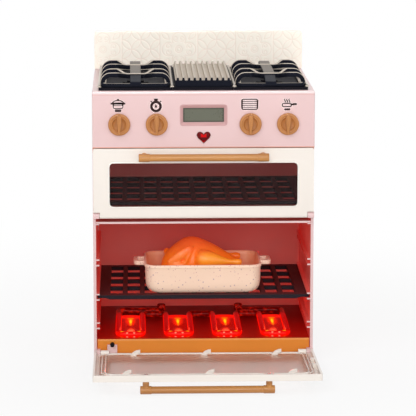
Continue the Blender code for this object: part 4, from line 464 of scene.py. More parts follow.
def specks(work, base):
    """Mauve and rose specks of two sizes in cream; the inside, which is marked, is a warmer peach."""
    for scale, colour, limit in ((430.0, (226, 176, 162), 0.2), (260.0, (204, 168, 168), 0.15)):
        cells = work.add("ShaderNodeTexVoronoi", {"Vector": work.place(), "Scale": scale, "Randomness": 1.0})
        spot = work.span(cells.outputs["Distance"], limit + 0.06, limit)
        pick = work.span(cells.outputs["Color"], 0.5, 0.52)
        base = work.mix(work.times(spot, pick), base, colour)
    return marks((255, 196, 152))(work, base)


def film_edge_shade(work, base):
    """Painted shade: the film darkens towards the edges of its window, where the surround shades it."""
    x, _, z = work.axes()
    aside = work.span(work.size(x), 0.0172, 0.0192)
    over = work.span(work.size(work.plus(z, -LENS_Z * MM)), 0.0048, 0.0066)
    return work.mix(work.math("MAXIMUM", aside, over), base, (58, 60, 46))


def gem_colours_and_painted_light(work, base):
    """Dark lobes, a red lower tip, and on the flat top a painted highlight in the upper middle, drawn as a bright
    facet above a dark one.
    """
    x, _, z = work.axes()
    tip = work.mix(work.span(z, 0.2195, 0.2165), base, (168, 0, 4))
    # bright is a painted highlight on the upper middle of the flat top.
    bright = work.times(work.span(z, 0.2205, 0.2213), work.span(work.size(x), 0.0032, 0.0022))
    return marks(work.mix(bright, (84, 10, 14), (206, 0, 4)))(work, tip)


# The housing's recolour and glow paint light: the lit seam, the deck's edge highlight, and the heater's red light
# inside the cavity.
PINK = finish("pink_plastic", (227, 194, 193), 0.36, recolour=pink_seams_and_painted_light, glow=0.3, Coat_Weight=0.15)
PINK_REAR = finish("pink_rear_plastic", (230, 197, 196), 0.42, Coat_Weight=0.1)
DUSTY = finish("dusty_pink_plastic", (202, 156, 155), 0.35)
CREAM = finish("door_cream_plastic", (241, 233, 224), 0.34, Coat_Weight=0.15)
# Paler than the door cream: a painted highlight along the window lips and along the lower pane's clear beads.
LIP_HIGHLIGHT = finish("window_lip_highlight_cream", (247, 242, 234), 0.25, Coat_Weight=0.3)
# The knobs' marked dishes take a darker tan: painted shade in the recess.
TAN = finish("tan_plastic", (186, 122, 62), 0.36, grain=700.0, mottle=0.07, recolour=marks((180, 116, 58)),
             Coat_Weight=0.05)
TAN_BAR = finish("tan_bar_plastic", (200, 139, 72), 0.34, grain=700.0, mottle=0.05, recolour=lengthwise,
                 Coat_Weight=0.15)
TRAY = finish("heater_tray_plastic", (226, 138, 52), 0.42, recolour=tray_colours_and_painted_light, mottle=0.08,
              Specular_IOR_Level=0.2)
# Pale pink cavity plastic; its red is the heater's light, painted through glow as colour and emission.
RED_LIT_WALL = finish("cavity_plastic", (240, 212, 210), 0.42, glow=0.3)
BLACK = finish("black_plastic", (30, 29, 35), 0.5, grain=1200.0, mottle=0.12, Specular_IOR_Level=0.02)
RACK = finish("rack_black_plastic", (40, 36, 42), 0.5, grain=1000.0, mottle=0.12, recolour=rack_colours,
              Specular_IOR_Level=0.06)
GRATE = finish("grate_black_and_champagne", (24, 26, 36), 0.5, recolour=marks((204, 192, 178)), mottle=0.08,
               Specular_IOR_Level=0.04)
CHAMPAGNE = finish("champagne_paint", (204, 192, 178), 0.34, grain=2600.0, mottle=0.08)
STEEL = finish("plated_steel", (196, 196, 200), 0.28, grain=2400.0, Metallic=1.0)
BOARD = finish("board_green", (44, 96, 64), 0.5)
CELL = finish("battery_sleeve", (60, 62, 70), 0.3, recolour=lambda work, base: work.mix(
    work.span(work.axes()[2], 0.104, 0.1045), base, (205, 150, 70)))
PAN = finish("speckled_pan", (254, 221, 196), 0.42, recolour=specks, mottle=0.04)
# The roast's weak orange emission is painted light.
ROAST = finish("roast_glaze", (252, 128, 22), 0.36, grain=420.0, depth=0.00010, mottle=0.1, recolour=roast_colours,
               Emission_Color=(1.0, 0.2, 0.03, 1.0), Emission_Strength=0.10, Coat_Weight=0.05,
               Subsurface_Weight=0.12, Subsurface_Scale=0.004)
TILE = finish("tile_cream", (255, 247, 234), 0.36, recolour=marks((251, 237, 223), 0.1, 1.0), Coat_Weight=0.15)
GEM = finish("heart_gem", (100, 2, 8), 0.3, mottle=0.1, recolour=gem_colours_and_painted_light, Specular_IOR_Level=0.12)
INK = finish("icon_ink", (56, 32, 34), 0.5, Specular_IOR_Level=0.2)
HALO = finish("icon_halo", (246, 224, 222), 0.5)
LCD = finish("display_film", (92, 94, 78), 0.3, mottle=0.06, recolour=film_edge_shade, Coat_Weight=0.15)


def clear_pane(name, tint, rough, index):
    """Clear moulded plastic: transmission with a soft tint and faint flow marks."""
    made, work, shader = material(name)
    flow = work.noise(26.0, 2.0)
    paler = tuple(min(channel + 6, 255) for channel in tint)
    work.feed(shader.inputs["Base Color"], work.mix(flow, tint, paler))
    work.feed(shader.inputs["Roughness"], work.span(flow, 0.2, 0.8, rough, rough + 0.02))
    work.feed(shader.inputs["Normal"], work.bump(flow, 0.00002, 0.3))
    fix(shader, Transmission_Weight=1.0, IOR=index)
    return made


def about_each_loop(work, x, y, spots):
    """1 in a set of ovals about each loop's middle line, given as (x, y, half width, half depth) in millimetres."""
    best = None
    for centre in LOOPS:
        for dx, at, half_x, half_y in spots:
            across = work.math("DIVIDE", work.plus(x, -(centre + dx) * MM), half_x * MM)
            along = work.math("DIVIDE", work.plus(y, -at * MM), half_y * MM)
            far = work.plus(work.times(across, across), work.times(along, along))
            best = far if best is None else work.math("MINIMUM", best, far)
    return work.span(best, 1.3, 0.3)


def lit_plastic(name, colour, strength, rough=0.12):
    """Translucent red plastic that shines: colour(work, x, y, z) gives what it sends out at each place."""
    made, work, shader = material(name)
    work.feed(shader.inputs["Base Color"], work.mix(work.noise(60.0), (74, 2, 2), (54, 0, 0)))
    work.feed(shader.inputs["Emission Color"], colour(work, *work.axes()))
    work.feed(shader.inputs["Roughness"], work.span(work.noise(240.0), 0.2, 0.8, rough, rough + 0.1))
    work.feed(shader.inputs["Normal"], work.bump(work.noise(300.0), 0.00002, 0.5))
    fix(shader, Emission_Strength=strength, Specular_IOR_Level=0.12)
    return made


def tube_light(work, x, y, z):
    """Bright along the tube's sides and its front curves, a dark core on top, amber spots, a dim rear."""
    core = work.times(work.span(work.mark(), 0.35, 0.8), work.span(y, -0.080, -0.072, 0.25, 0.9))
    spots = about_each_loop(work, x, y, ((-8.0, -79.2, 2.0, 1.2), (8.0, -79.2, 2.0, 1.2)))
    # glints are painted highlights: pale spots in the emitted colour.
    glints = about_each_loop(work, x, y, ((-3.4, -82.4, 1.1, 0.6), (3.4, -82.4, 1.1, 0.6)))
    far = work.span(work.plus(y, work.times(work.noise(130.0), 0.006)), -0.002, 0.014)
    dim = work.mix(work.span(work.noise(210.0), 0.45, 0.7), (62, 0, 0), (186, 22, 6))
    red = work.mix(core, (255, 14, 4), (158, 0, 4))
    return work.layers(red, (spots, (255, 150, 24)), (glints, (255, 140, 110)), (far, dim))


def web_light(work, x, y, z):
    """Dark red, brighter at both ends, with a wedge of amber about the lamp and a yellow drop in it."""
    ends = work.math("MAXIMUM", work.span(y, -0.010, 0.002), work.span(y, -0.058, -0.070))
    haze = about_each_loop(work, x, y, ((0.0, -14.0, 5.6, 24.0),))
    wedge = about_each_loop(work, x, y, ((0.0, -3.6, 3.6, 3.4), (0.0, -12.0, 2.4, 10.0), (0.0, -25.0, 1.5, 12.0),
                                         (0.0, -66.0, 3.2, 2.4)))
    drop = about_each_loop(work, x, y, ((0.0, -17.0, 1.3, 9.5),))
    red = work.mix(ends, (166, 2, 0), (255, 14, 4))
    return work.layers(red, (haze, (250, 34, 4)), (wedge, (255, 122, 4)), (drop, (255, 214, 16)))


def lamp_light(work, x, y, z):
    """Amber at the foot, yellow towards the top."""
    return work.mix(work.span(z, 0.0185, 0.0215), (255, 120, 10), (255, 216, 70))


PANE = clear_pane("clear_pane", (240, 224, 216), 0.4, 1.2)
SMOKED = clear_pane("smoked_pane", (228, 206, 204), 0.01, 1.2)
ELEMENT = lit_plastic("element_red", tube_light, 0.95)
WEB = lit_plastic("element_web_red", web_light, 0.9)
LED = lit_plastic("led_amber", lamp_light, 1.5)


def numbered(name, count):
    return [f"{name}_{i + 1}" for i in range(count)]


for skin, names in (
        (PINK, ["housing", "bottom_panel"]),
        (RED_LIT_WALL, ["cavity_divider", "cavity_back_wall"]),
        (PINK_REAR, ["rear_cover", "battery_cover"]),
        (CREAM, ["lower_door_frame", "upper_door_frame"]),
        (BLACK, ["cooktop_insert_left", "cooktop_insert_middle", "cooktop_insert_right", "battery_box", "speaker",
                 "door_switch_plunger", "door_switch_body"]),
        (TRAY, ["heater_tray"]),
        (BOARD, ["control_board", "light_board"]),
        (CELL, numbered("battery", 3)),
        (STEEL, numbered("rear_cover_screw", 4) + ["battery_cover_screw"]
         + [f"{door}_handle_screw_{side}" for door in ("upper", "lower") for side in ("left", "right")]),
        (PANE, ["lower_door_window"]),
        (SMOKED, ["upper_door_window"]),
        (LCD, ["display_lens"])):
    for name in names:
        for place in NODES[name].material_slots:
            place.material = skin


# The cooktop

def tile_relief(x, z):
    """0 to 1 where a line is drawn, by distance. Square tiles alternate: circles about every second point of a
    square lattice, so that they overlap into petals; and a flower, drawn once and folded about its own axes."""
    pitch, middle_x, middle_z = 38.6, -58.7, 284.9
    tile = np.round((x - middle_x) / pitch)
    u = x - middle_x - tile * pitch
    v = z - middle_z
    step = pitch / 4
    circles = np.full_like(u, 9.0)
    for i in range(-3, 4):
        for j in range(-3, 4):
            if (i + j) % 2 == 0:
                circles = np.minimum(circles, np.abs(np.hypot(u - i * step, v - j * step) - step))
    a, b = np.maximum(np.abs(u), np.abs(v)), np.minimum(np.abs(u), np.abs(v))
    middle = np.hypot(u, v)
    flower = np.minimum(np.abs(middle - 3.5), np.abs(middle - 1.9))
    flower = np.minimum(flower, np.where(a > 6.4, np.abs(np.hypot(a - 10.2, b) - 6.9), 9))
    for part in np.linspace(0, 1, 40):
        radius, turn = 3.0 - 2.2 * part, 3.6 - 7.0 * part
        spot = np.hypot(a - 10.9 - radius * math.cos(turn), b - 3.1 - radius * math.sin(turn))
        flower = np.minimum(flower, spot)
    along, aside = (a + b) / math.sqrt(2), (a - b) / math.sqrt(2)
    leaf = 2.5 * np.sin(np.pi * np.clip((along - 14.0) / 11.0, 0, 1))
    flower = np.minimum(flower, np.where((along > 14) & (along < 25), np.abs(aside - leaf), 9))
    line = np.where(np.mod(tile, 2) == 1, flower, circles)
    return np.exp(-((np.minimum(line, np.abs(np.abs(u) - pitch / 2)) / 0.5) ** 2))


def backsplash():
    """A slab whose front is a grid, pushed in where the tile lines run; its top corners are rounded."""
    half_x, foot, crown, corner = 106, 265.2, 303.6, 3
    front_y, rear_y, groove, bevel = 88.3, 94.3, 0.22, 1.2
    across = np.linspace(-half_x, half_x, 425)
    drop = np.clip(np.abs(across) - (half_x - corner), 0, corner)
    top = crown - (corner - np.sqrt(np.maximum(corner**2 - drop**2, 0)))
    up = np.linspace(0, 1, 80)[:, None]
    x = np.broadcast_to(across, (len(up), len(across)))
    z = foot + up * (top - foot)
    line = tile_relief(x, z)
    inner = smoothstep(np.minimum(half_x - np.abs(x), top - z) / bevel)
    front = np.stack([x, front_y + groove * line * inner + 0.5 * (1 - inner), z], -1)
    back = np.stack([x, np.full_like(x, rear_y), z], -1)
    quads, rim = grid(*x.shape)
    quads = quads.reshape(-1, 4)
    faces = np.concatenate([quads, quads[:, ::-1] + x.size, band(rim, rim + x.size)]).tolist()
    return (np.concatenate([front.reshape(-1, 3), back.reshape(-1, 3)]), faces,
            np.concatenate([line.reshape(-1), np.zeros(x.size)]))


def bar_section(half_width, half_height, radius):
    """A bar's rounded section, and a mark that is 1 on its upper face."""
    section = outline(half_width, half_height, radius, 3)
    return section, (section[:, 1] > half_height - radius * 0.9).astype(float)


def arch_line(x, y, lean, low, top):
    """Half-arch heights and offsets: round shoulders, then a ramp down and in to the strap, mirrored."""
    half, radius, shoulder, waist = 31.5, 7.5, 18.5, 9.0
    angle = np.linspace(0, math.pi / 2, 9)
    rise = np.stack([np.full(4, half), np.linspace(low, top - radius, 4)], -1)
    bend = np.stack([half - radius + radius * np.cos(angle), top - radius + radius * np.sin(angle)], -1)
    u = np.linspace(half - radius - 0.5, 0, 24)
    ramp = smoothstep((shoulder - u) / (shoulder - waist))
    crown = np.stack([u, top - 2.6 * ramp], -1)
    side = np.concatenate([rise, bend, crown])
    line = np.concatenate([side, side[-2::-1] * [-1, 1]])
    drawn = smoothstep((shoulder - np.abs(line[:, 0])) / (shoulder - waist))
    offset = lean * (16.5 + (1.4 - 16.5) * drawn)
    return np.stack([x + line[:, 0], y + offset, line[:, 1]], -1)


def bent_bar(line, half_width, half_height, radius):
    """A bar along an arched line in a nearly upright plane, its upper face marked."""
    section, top = bar_section(half_width, half_height, radius)
    across = np.cross(np.gradient(line, axis=0), [0, 0, 1.0])
    flat = np.linalg.norm(across, axis=1) < 1e-6
    across[flat] = across[~flat][0]
    across /= np.linalg.norm(across, axis=1)[:, None]
    return sweep(line, section, across, mark=top[None, :])


def grate(x):
    """Frame, two pairs of arches and the strap along them, sunk a little into each other where they meet. The
    strap's top falls towards the front edge, and dips at the middle of each burner."""
    top, low = 280.3, DECK_FLOOR + 1.6
    near, far = -57.1, 16.9
    frame_path = level(resampled(outline(30.5, 63.5, 3.0, 6), 3.0, True) + [x, -20.1], low)
    section = outline(1.6, 2.5, 0.5, 3)
    # The frame's top inner edge is marked for the champagne colour: a painted highlight.
    edge_highlight = ((section[:, 0] > 1.0) & (section[:, 1] > 1.9)).astype(float)
    shapes = [sweep(frame_path, section, (0, 0, 1), True, edge_highlight[None, :])]
    for centre in (near, far):
        for lean in (-1, 1):
            line = arch_line(x, centre, lean, low, top)
            line[:, 2] -= 2.1
            shapes.append(bent_bar(line, 1.4, 2.2, 0.55))
    front, rear, strap_half, thin = -85.6, 45.4, 5.2, 1.3
    y = np.linspace(front, rear, 90)
    fall = 4.8 * np.maximum(near - y, 0) / 29
    rise = 0.9 * smoothstep(np.minimum(np.abs(y - near), np.abs(y - far)) / 16.5) * (y > near)
    end = np.clip(np.minimum(y - front, rear - y) / 2.0, 0, 1)
    z = top - 3.1 - fall + rise - 1.5 * (1 - np.sqrt(1 - (1 - end) ** 2)) - thin
    ends = [np.stack([np.full(4, at), np.linspace(low - 0.1, height - 0.2, 4)], -1)
            for at, height in ((y[0], z[0]), (y[-1], z[-1]))]
    line = np.concatenate([ends[0], np.stack([y, z], -1), ends[1][::-1]])
    path = np.column_stack([np.full(len(line), float(x)), line])
    section, upper = bar_section(strap_half, thin, 0.5)
    # Behind the front, the strap's upper face takes about a third of the champagne: champagne paint with painted
    # shade, a grey lilac.
    shaded_champagne = np.where(line[:, 0] > near - 1.5, 0.488, 0.0)
    shapes.append(sweep(path, section, (1, 0, 0), mark=upper[None, :] * shaded_champagne[:, None]))
    return joined(shapes)


put("backsplash_tiles", backsplash(), TILE, "oven_body", ["backsplash"])
put("grate_left", grate(-64.5), GRATE, "oven_body", ["burner_grate_left"])
put("grate_right", grate(64.5), GRATE, "oven_body", ["burner_grate_right"])


def griddle():
    """A grid over the plate: height is a rounded comb of ribs across x, and the grooves' front ends are dark. The
    sides have points of their own, so that the upper edge stays crisp."""
    crest, rib_height, half_x, front, rear = 273.9, 3.0, 26.6, -84.3, 55.7
    ribs = (np.arange(10) - 4.5) * 5.4
    flanks = np.array([-1.3, -1.05, -0.8, 0.8, 1.05, 1.3])
    x = np.unique(np.concatenate([np.linspace(-half_x, half_x, 60)] + [rib + flanks for rib in ribs]))
    y = np.concatenate([[front, -84.0, -82.2, -82.0], np.linspace(-80, 53, 20), [55.4, rear]])
    near = np.abs(x[:, None] - ribs).min(1)
    grid_x, grid_y = np.meshgrid(x, y)
    top = np.broadcast_to(crest + rib_height * smoothstep((1.32 - near) / 0.5), grid_x.shape).copy()
    top[[0, -1]] -= 0.35
    mark = np.where((grid_y < -82.1) & (near > 1.2), 0.0, 1.0)
    upper = np.stack([grid_x, grid_y, top], -1).reshape(-1, 3)
    lower = level(upper[:, :2], DECK_FLOOR)
    quads, rim = grid(*grid_x.shape)
    quads, half = quads.reshape(-1, 4), len(upper)
    edge = np.arange(len(rim)) + 2 * half
    faces = np.concatenate([quads, quads[:, ::-1] + half, band(edge, edge + len(rim))]).tolist()
    points = np.concatenate([upper, lower, upper[rim], lower[rim]])
    return points, faces, np.concatenate([mark.reshape(-1), np.zeros(len(points) - half)])


put("griddle_ribs", griddle(), GRATE, "oven_body", ["griddle_plate"])

rails = []
for edge in (-99.2, -29.8, 29.8, 99.2):
    front, rear = -83.6, 77.8
    y = np.linspace(front, rear, 40)
    ends = np.clip(np.minimum(y - front, rear - y) / 2.0, 0, 1)
    path = np.stack([np.full_like(y, edge), y, 269.0 - 0.9 * (1 - smoothstep(ends))], -1)
    rails.append(sweep(path, outline(1.15, 1.25, 0.9, 4), (1, 0, 0)))
    foot = [(1.9, 0.0), (2.0, 0.5), (1.7, 1.1), (1.0, 1.5)]
    rails.append(turned(foot, 16, upright(edge, front + 0.2, DECK_FLOOR - 0.2)))
put("deck_rails", joined(rails), CHAMPAGNE, "oven_body")


# The control panel

def knob(x):
    """A skirt with a broad rim, a thin ring and a dish, and a grip that is wide and round above and tapers down."""
    profile = [(2.4, -5.0), (2.4, 0.3), (10.3, 0.3), (10.5, 0.5), (10.5, 2.3), (10.4, 2.8), (10.1, 3.15), (9.6, 3.35),
               (8.5, 3.5), (8.2, 3.42), (8.0, 3.2), (7.7, 3.15), (7.5, 3.35), (7.2, 3.5), (6.8, 3.45), (6.5, 3.25),
               (6.3, 2.9), (5.9, 2.6), (3.0, 2.5), (0.6, 2.5)]
    # The dish is marked for a darker tan: painted shade in the recess.
    dish_shade = np.array([radius < 6.6 and height > 1.0 for radius, height in profile], float)[:, None]
    turn, half_v, half_u, skirt_top = around(48), 9.4, 2.5, 1.5
    v = half_v * np.sin(turn)
    wide = 1.15 + (half_u - 1.15) * smoothstep((v + half_v) / 15)
    u = wide * np.sign(np.cos(turn)) * np.abs(np.cos(turn)) ** 0.45
    rise = 8.8 - 2.6 * smoothstep((2.0 - v) / 11.5) - skirt_top
    rings = [np.stack([u * (1 - inset / half_u), v * (1 - inset / half_v), skirt_top + rise * share], -1)
             for share, inset in ((0.0, 0.0), (0.86, 0.0), (0.95, 0.12), (0.99, 0.3), (1.0, 0.55))]
    place = out_of_front(x, KNOB_Z)
    return joined([turned(profile, 56, place, dish_shade), moved(loft(rings), place)])


for word, x in (("outer_left", -80.3), ("inner_left", -44.65), ("inner_right", 44.65), ("outer_right", 80.3)):
    name = "knob_" + word
    put(name + "_turned", knob(x), TAN, name, [name])


def framed(levels, centre_z):
    """Rounded rectangles, each (half width, half height, radius, depth in y), joined ring to ring."""
    return loft([standing(outline(half_x, half_z, radius, 5) + [0, centre_z], y)
                 for half_x, half_z, radius, y in levels], loop=True)


bezel = framed([(22.0, 9.8, 2.6, -91.2), (22.0, 9.8, 2.6, -94.2), (22.7, 10.4, 3.0, -94.25), (22.6, 10.3, 3.0, -94.5),
                (22.0, 9.7, 2.7, -94.55), (21.2, 9.0, 2.0, -94.2),
                (20.2, 7.4, 0.8, -93.1), (19.5, 6.8, 0.5, -92.6), (19.45, 6.75, 0.4, -91.2)], BEZEL_Z)
put("display_surround", bezel, DUSTY, "oven_body", ["display_bezel"])


def heart_ring(share):
    """The classic heart curve, fitted to the button's width and height."""
    t = around(64)
    u = 0.5 * np.sign(np.sin(t)) * np.abs(np.sin(t)) ** 2.5
    v = (13 * np.cos(t) - 5 * np.cos(2 * t) - 2 * np.cos(3 * t) - np.cos(4 * t) + 2.5) / 29
    return np.stack([u * share * 13.2, v * share * 11.2], -1)


def heart_gem():
    """Hearts of a given share of the full size, height and mark, one on the other: a flat top with a facet round."""
    levels = ((0.98, -3.2, 0), (0.98, 0.7, 0), (0.95, 1.0, 0), (0.66, 1.85, 0), (0.62, 1.9, 1), (0.3, 1.9, 1))
    rings = [level(heart_ring(share), height) for share, height, _ in levels]
    mark = np.array([mark for _, _, mark in levels])[:, None]
    return moved(loft(rings, mark=mark), out_of_front(0, HEART_Z))


put("heart_gem", heart_gem(), GEM, "heart_button", ["heart_button"], sharp=20)


def stroke(points, width, thick, out):
    """A flat line with rounded sides, carried along a path drawn on the fascia."""
    section = outline(width / 2, thick / 2, thick / 2 * 0.9, 2)
    return sweep(resampled(standing(points, FRONT - out), 0.25), section[:, ::-1], (0, 1, 0))


def closed_line(points):
    """A line that runs on over its own first two points, so that the ends overlap."""
    points = np.asarray(points, float)
    return np.vstack([points, points[:2]])


def disc(x, z, radius):
    """A filled round spot, drawn as one thick turn."""
    turn = np.linspace(0, 2 * math.pi, 20)
    return np.stack([x + radius / 2 * np.cos(turn), z + radius / 2 * np.sin(turn)], -1), radius


def icon_lines():
    """Four plain kitchen signs as (path, width): lidded pot, stopwatch, ribbed plate, pan with steam."""
    turn = np.linspace(0, 2 * math.pi, 40)
    half = np.linspace(0, math.pi, 24)
    lid = np.stack([5.4 * np.cos(half), 1.6 + 2.9 * np.sin(half)], -1)
    pot = [(np.vstack([lid, lid[:1]]), 1.05), ([(-0.9, 5.5), (0.9, 5.5)], 1.2), ([(-7.0, 1.4), (-5.4, 1.4)], 1.4),
           ([(5.4, 1.4), (7.0, 1.4)], 1.4), (closed_line(outline(4.6, 2.4, 1.5, 4) + [0, -0.8]), 0.9),
           ([(-4.2, -0.3), (4.2, -0.3)], 0.6)] + [disc(x, -5.4, 1.15) for x in (-2.0, 0, 2.0)]
    watch = [(np.stack([r * np.cos(turn), r * np.sin(turn)], -1), 1.0) for r in (3.6, 5.1)]
    watch += [([(0, 0), (0, 2.4)], 0.8), disc(0, -0.2, 1.1), ([(0, 5.4), (0, 7.0)], 2.2),
              ([(-1.8, 6.9), (1.8, 6.9)], 1.3), ([(-4.0, 4.3), (-4.9, 5.2)], 1.3), ([(4.0, 4.3), (4.9, 5.2)], 1.3)]
    plate = [(closed_line(outline(7.6, 4.8, 1.6, 4)), 1.1)]
    plate += [([(-7.2, z), (7.2, z)], 0.75) for z in (-2.8, -0.95, 0.95, 2.8)]
    pan = [(closed_line(outline(4.3, 1.5, 1.3, 5) + [-2.2, -0.9]), 1.05), ([(2.2, -0.6), (4.4, -0.3)], 1.3),
           (closed_line(outline(1.4, 0.6, 0.5, 3) + [5.6, -0.1]), 0.8)]
    pan += [disc(x, -5.1, 1.0) for x in (-3.7, -1.8, 0.1)]
    rise = np.linspace(0, 1, 14)
    pan += [(np.stack([x + 0.5 * np.sin(rise * 2 * math.pi), 1.6 + 3.4 * rise], -1), 0.9) for x in (-4.0, -1.9, 0.2)]
    places = ((-81.3, 251.8), (-45.3, 250.5), (43.8, 252.2), (81.3, 252.3))
    return [(np.asarray(path, float) + place, width)
            for place, sign in zip(places, (pot, watch, plate, pan)) for path, width in sign]


LINES = icon_lines()
put("icon_signs", joined([stroke(line, width, 0.1, 0.06) for line, width in LINES]), INK, "oven_body")
put("icon_halos", joined([stroke(line, width + 1.1, 0.05, 0.0) for line, width in LINES]), HALO, "oven_body")


# The doors

def handle(place, height):
    """A round bar with thicker sleeves at its ends, on two posts that flare where they meet the door."""
    half_bar = [(3.4, 51.3), (3.6, 51.5), (3.8, 51.9), (3.8, 61.3), (3.6, 61.8), (3.1, 62.0)]
    bar = [(radius, -x) for radius, x in half_bar[::-1]] + half_bar
    y, z = -12.1, height - 7.5
    shapes = [turned(bar, 36, lambda p: place(np.stack([p[:, 2], y + p[:, 0], z + p[:, 1]], -1)))]
    post = [(3.0, 0.0), (3.0, 7.6), (3.15, 8.4), (3.5, 8.9)]
    for x in (-56.7, 56.7):
        shapes.append(turned(post, 28, lambda p, x=x: place(np.stack([x + p[:, 0], y + p[:, 2], z + p[:, 1]], -1))))
    return joined(shapes)


def bead(half_x, low, high, corner, y, ring, place):
    """A thin closed bead, ring in section, round a rounded rectangle of a door, at the depth y."""
    path = resampled(outline(half_x, (high - low) / 2, corner, 8) + [0, (high + low) / 2], 3.0, True)
    return moved(sweep(standing(path, y), ring, (0, 1, 0), True), place)


for word, place, height, low, high in (("lower", on_lower_door, LOWER_HEIGHT, 46.5, 116.5),
                                       ("upper", on_upper_door, UPPER_HEIGHT, 8.9, 51.2)):
    body = word + "_door"
    put(word + "_handle_bar", handle(place, height), TAN_BAR, body, [word + "_door_handle"])
    lip = bead(90.5, low - 0.5, high + 0.5, 4.0, -3.05, circle(0.75, 10), place)
    put(word + "_window_lip", lip, LIP_HIGHLIGHT, body)

# The pane's clear beads are drawn in the pale lip colour: painted highlights along them.
pane_bead_highlights = [bead(half_x, low, high, corner, 2.2, circle(0.45, 8), on_lower_door)
        for half_x, low, high, corner in ((97.4, 17.5, 124.6, 11.0), (94.2, 20.5, 121.6, 8.5))]
put("lower_pane_beads", joined(pane_bead_highlights), LIP_HIGHLIGHT, "lower_door")


# The heater

def element():
    """One tube: from a socket, round the left loop's outer side, loop by loop to the right, and back."""
    socket_x, socket_y, outer_rear, inner_rear, front, half_loop = 39.2, 45.7, 27.5, 11.7, -80.3, 11.8
    corners, radii = [(-socket_x, socket_y), (-socket_x, outer_rear)], [4.2]
    for i, x in enumerate(LOOPS):
        left = outer_rear if i == 0 else inner_rear
        right = outer_rear if i == 3 else inner_rear
        corners += [(x - half_loop, left), (x - half_loop, front), (x + half_loop, front), (x + half_loop, right)]
        radii += [4.2, 8.5, 8.5, 4.2]
    corners += [(socket_x, outer_rear), (socket_x, socket_y)]
    path = level(filleted(corners, radii + [4.2]), ELEMENT_Z)
    ring = circle(3.0, 24)
    shapes = [sweep(path, ring, (0, 0, 1), mark=np.clip(ring[:, 0] / 3, 0, 1)[None, :])]
    socket = [(4.2, 22.7), (4.2, 27.6), (3.9, 28.4), (3.2, 28.9), (2.2, 29.1)]
    return joined(shapes + [turned(socket, 24, upright(x, socket_y, 0)) for x in (-socket_x, socket_x)])


def webs():
    """A thin plate inside each loop, dished a little towards its middle."""
    levels = ((0.0, 23.7), (0.0, 24.7), (1.2, 24.9), (3.0, 24.6), (6.0, 24.4))
    return joined([loft([level(outline(11.4 - inset, 46.0 - inset, 8.0 - inset, 5) + [x, -34.3], z)
                         for inset, z in levels]) for x in LOOPS])


put("element_tube", element(), ELEMENT, "oven_body", ["heating_element"])
put("element_webs", webs(), WEB, "oven_body")
for i, x in enumerate(LOOPS):
    dome = [(2.9, 18.2), (2.9, 19.1), (2.3, 19.2), (2.3, 20.6), (2.1, 21.3), (1.6, 21.9), (0.8, 22.2)]
    name = f"light_{i + 1}"
    put(name + "_dome", turned(dome, 20, upright(x, -8.3, 0)), LED, "oven_body", [name])


# The racks

def rack(height):
    """A plate as a grid whose lines are the slots' edges: cells inside a slot are left out, and walls close
    the rest. It narrows a little to the rear, and is thicker between the ledges."""
    half_x, ledge, front, rear, thin, thick = 102.3, 94.5, -84.0, 66.1, 2.8, 4.1
    across = -90.2 + 16.8 * np.arange(11)[:, None] + [0, 12.1]
    deep = -73.8 + 33.9 * np.arange(4)[:, None] + [0, 30.2]
    grid_x, grid_y = np.meshgrid(np.concatenate([[-half_x, -ledge], across.reshape(-1), [ledge, half_x]]),
                                 np.concatenate([[front], deep.reshape(-1), [rear]]))
    under = height + thin - np.where(np.abs(grid_x) > 92, thin, thick)
    grid_x = grid_x * (1 - 0.0078 * (grid_y - front) / 150)
    points = [np.stack([grid_x, grid_y, z], -1).reshape(-1, 3) for z in (np.full_like(grid_x, height + thin), under)]
    rows, columns = grid_x.shape
    i, j = np.ogrid[:rows - 1, :columns - 1]
    hole = (i % 2 == 1) & (j % 2 == 0) & (j > 0) & (j < columns - 2)
    solid = np.pad(~hole, 1)
    quads, _ = grid(rows, columns)
    kept, half = quads[~hole], grid_x.size
    walls = []
    for step_i, step_j, one, two in ((-1, 0, 0, 1), (0, 1, 1, 2), (1, 0, 2, 3), (0, -1, 3, 0)):
        beside = solid[1 + step_i: rows + step_i, 1 + step_j: columns + step_j]
        edge = quads[~hole & ~beside]
        walls.append(np.stack([edge[:, two], edge[:, one], edge[:, one] + half, edge[:, two] + half], -1))
    faces = np.concatenate([kept, kept[:, ::-1] + half] + walls).tolist()
    return np.concatenate(points), faces, np.zeros(2 * half)


for word, height, body in (("lower", 62.6, "lower_rack"), ("upper", 154.6, "oven_body")):
    plate = put("rack_" + word + "_slotted", rack(height), RACK, body, ["rack_" + word])
    soft = plate.modifiers.new("soft_edges", "BEVEL")
    soft.width = 0.0004
    soft.segments = 2
    soft.limit_method = "ANGLE"


# The roasting pan and the roast

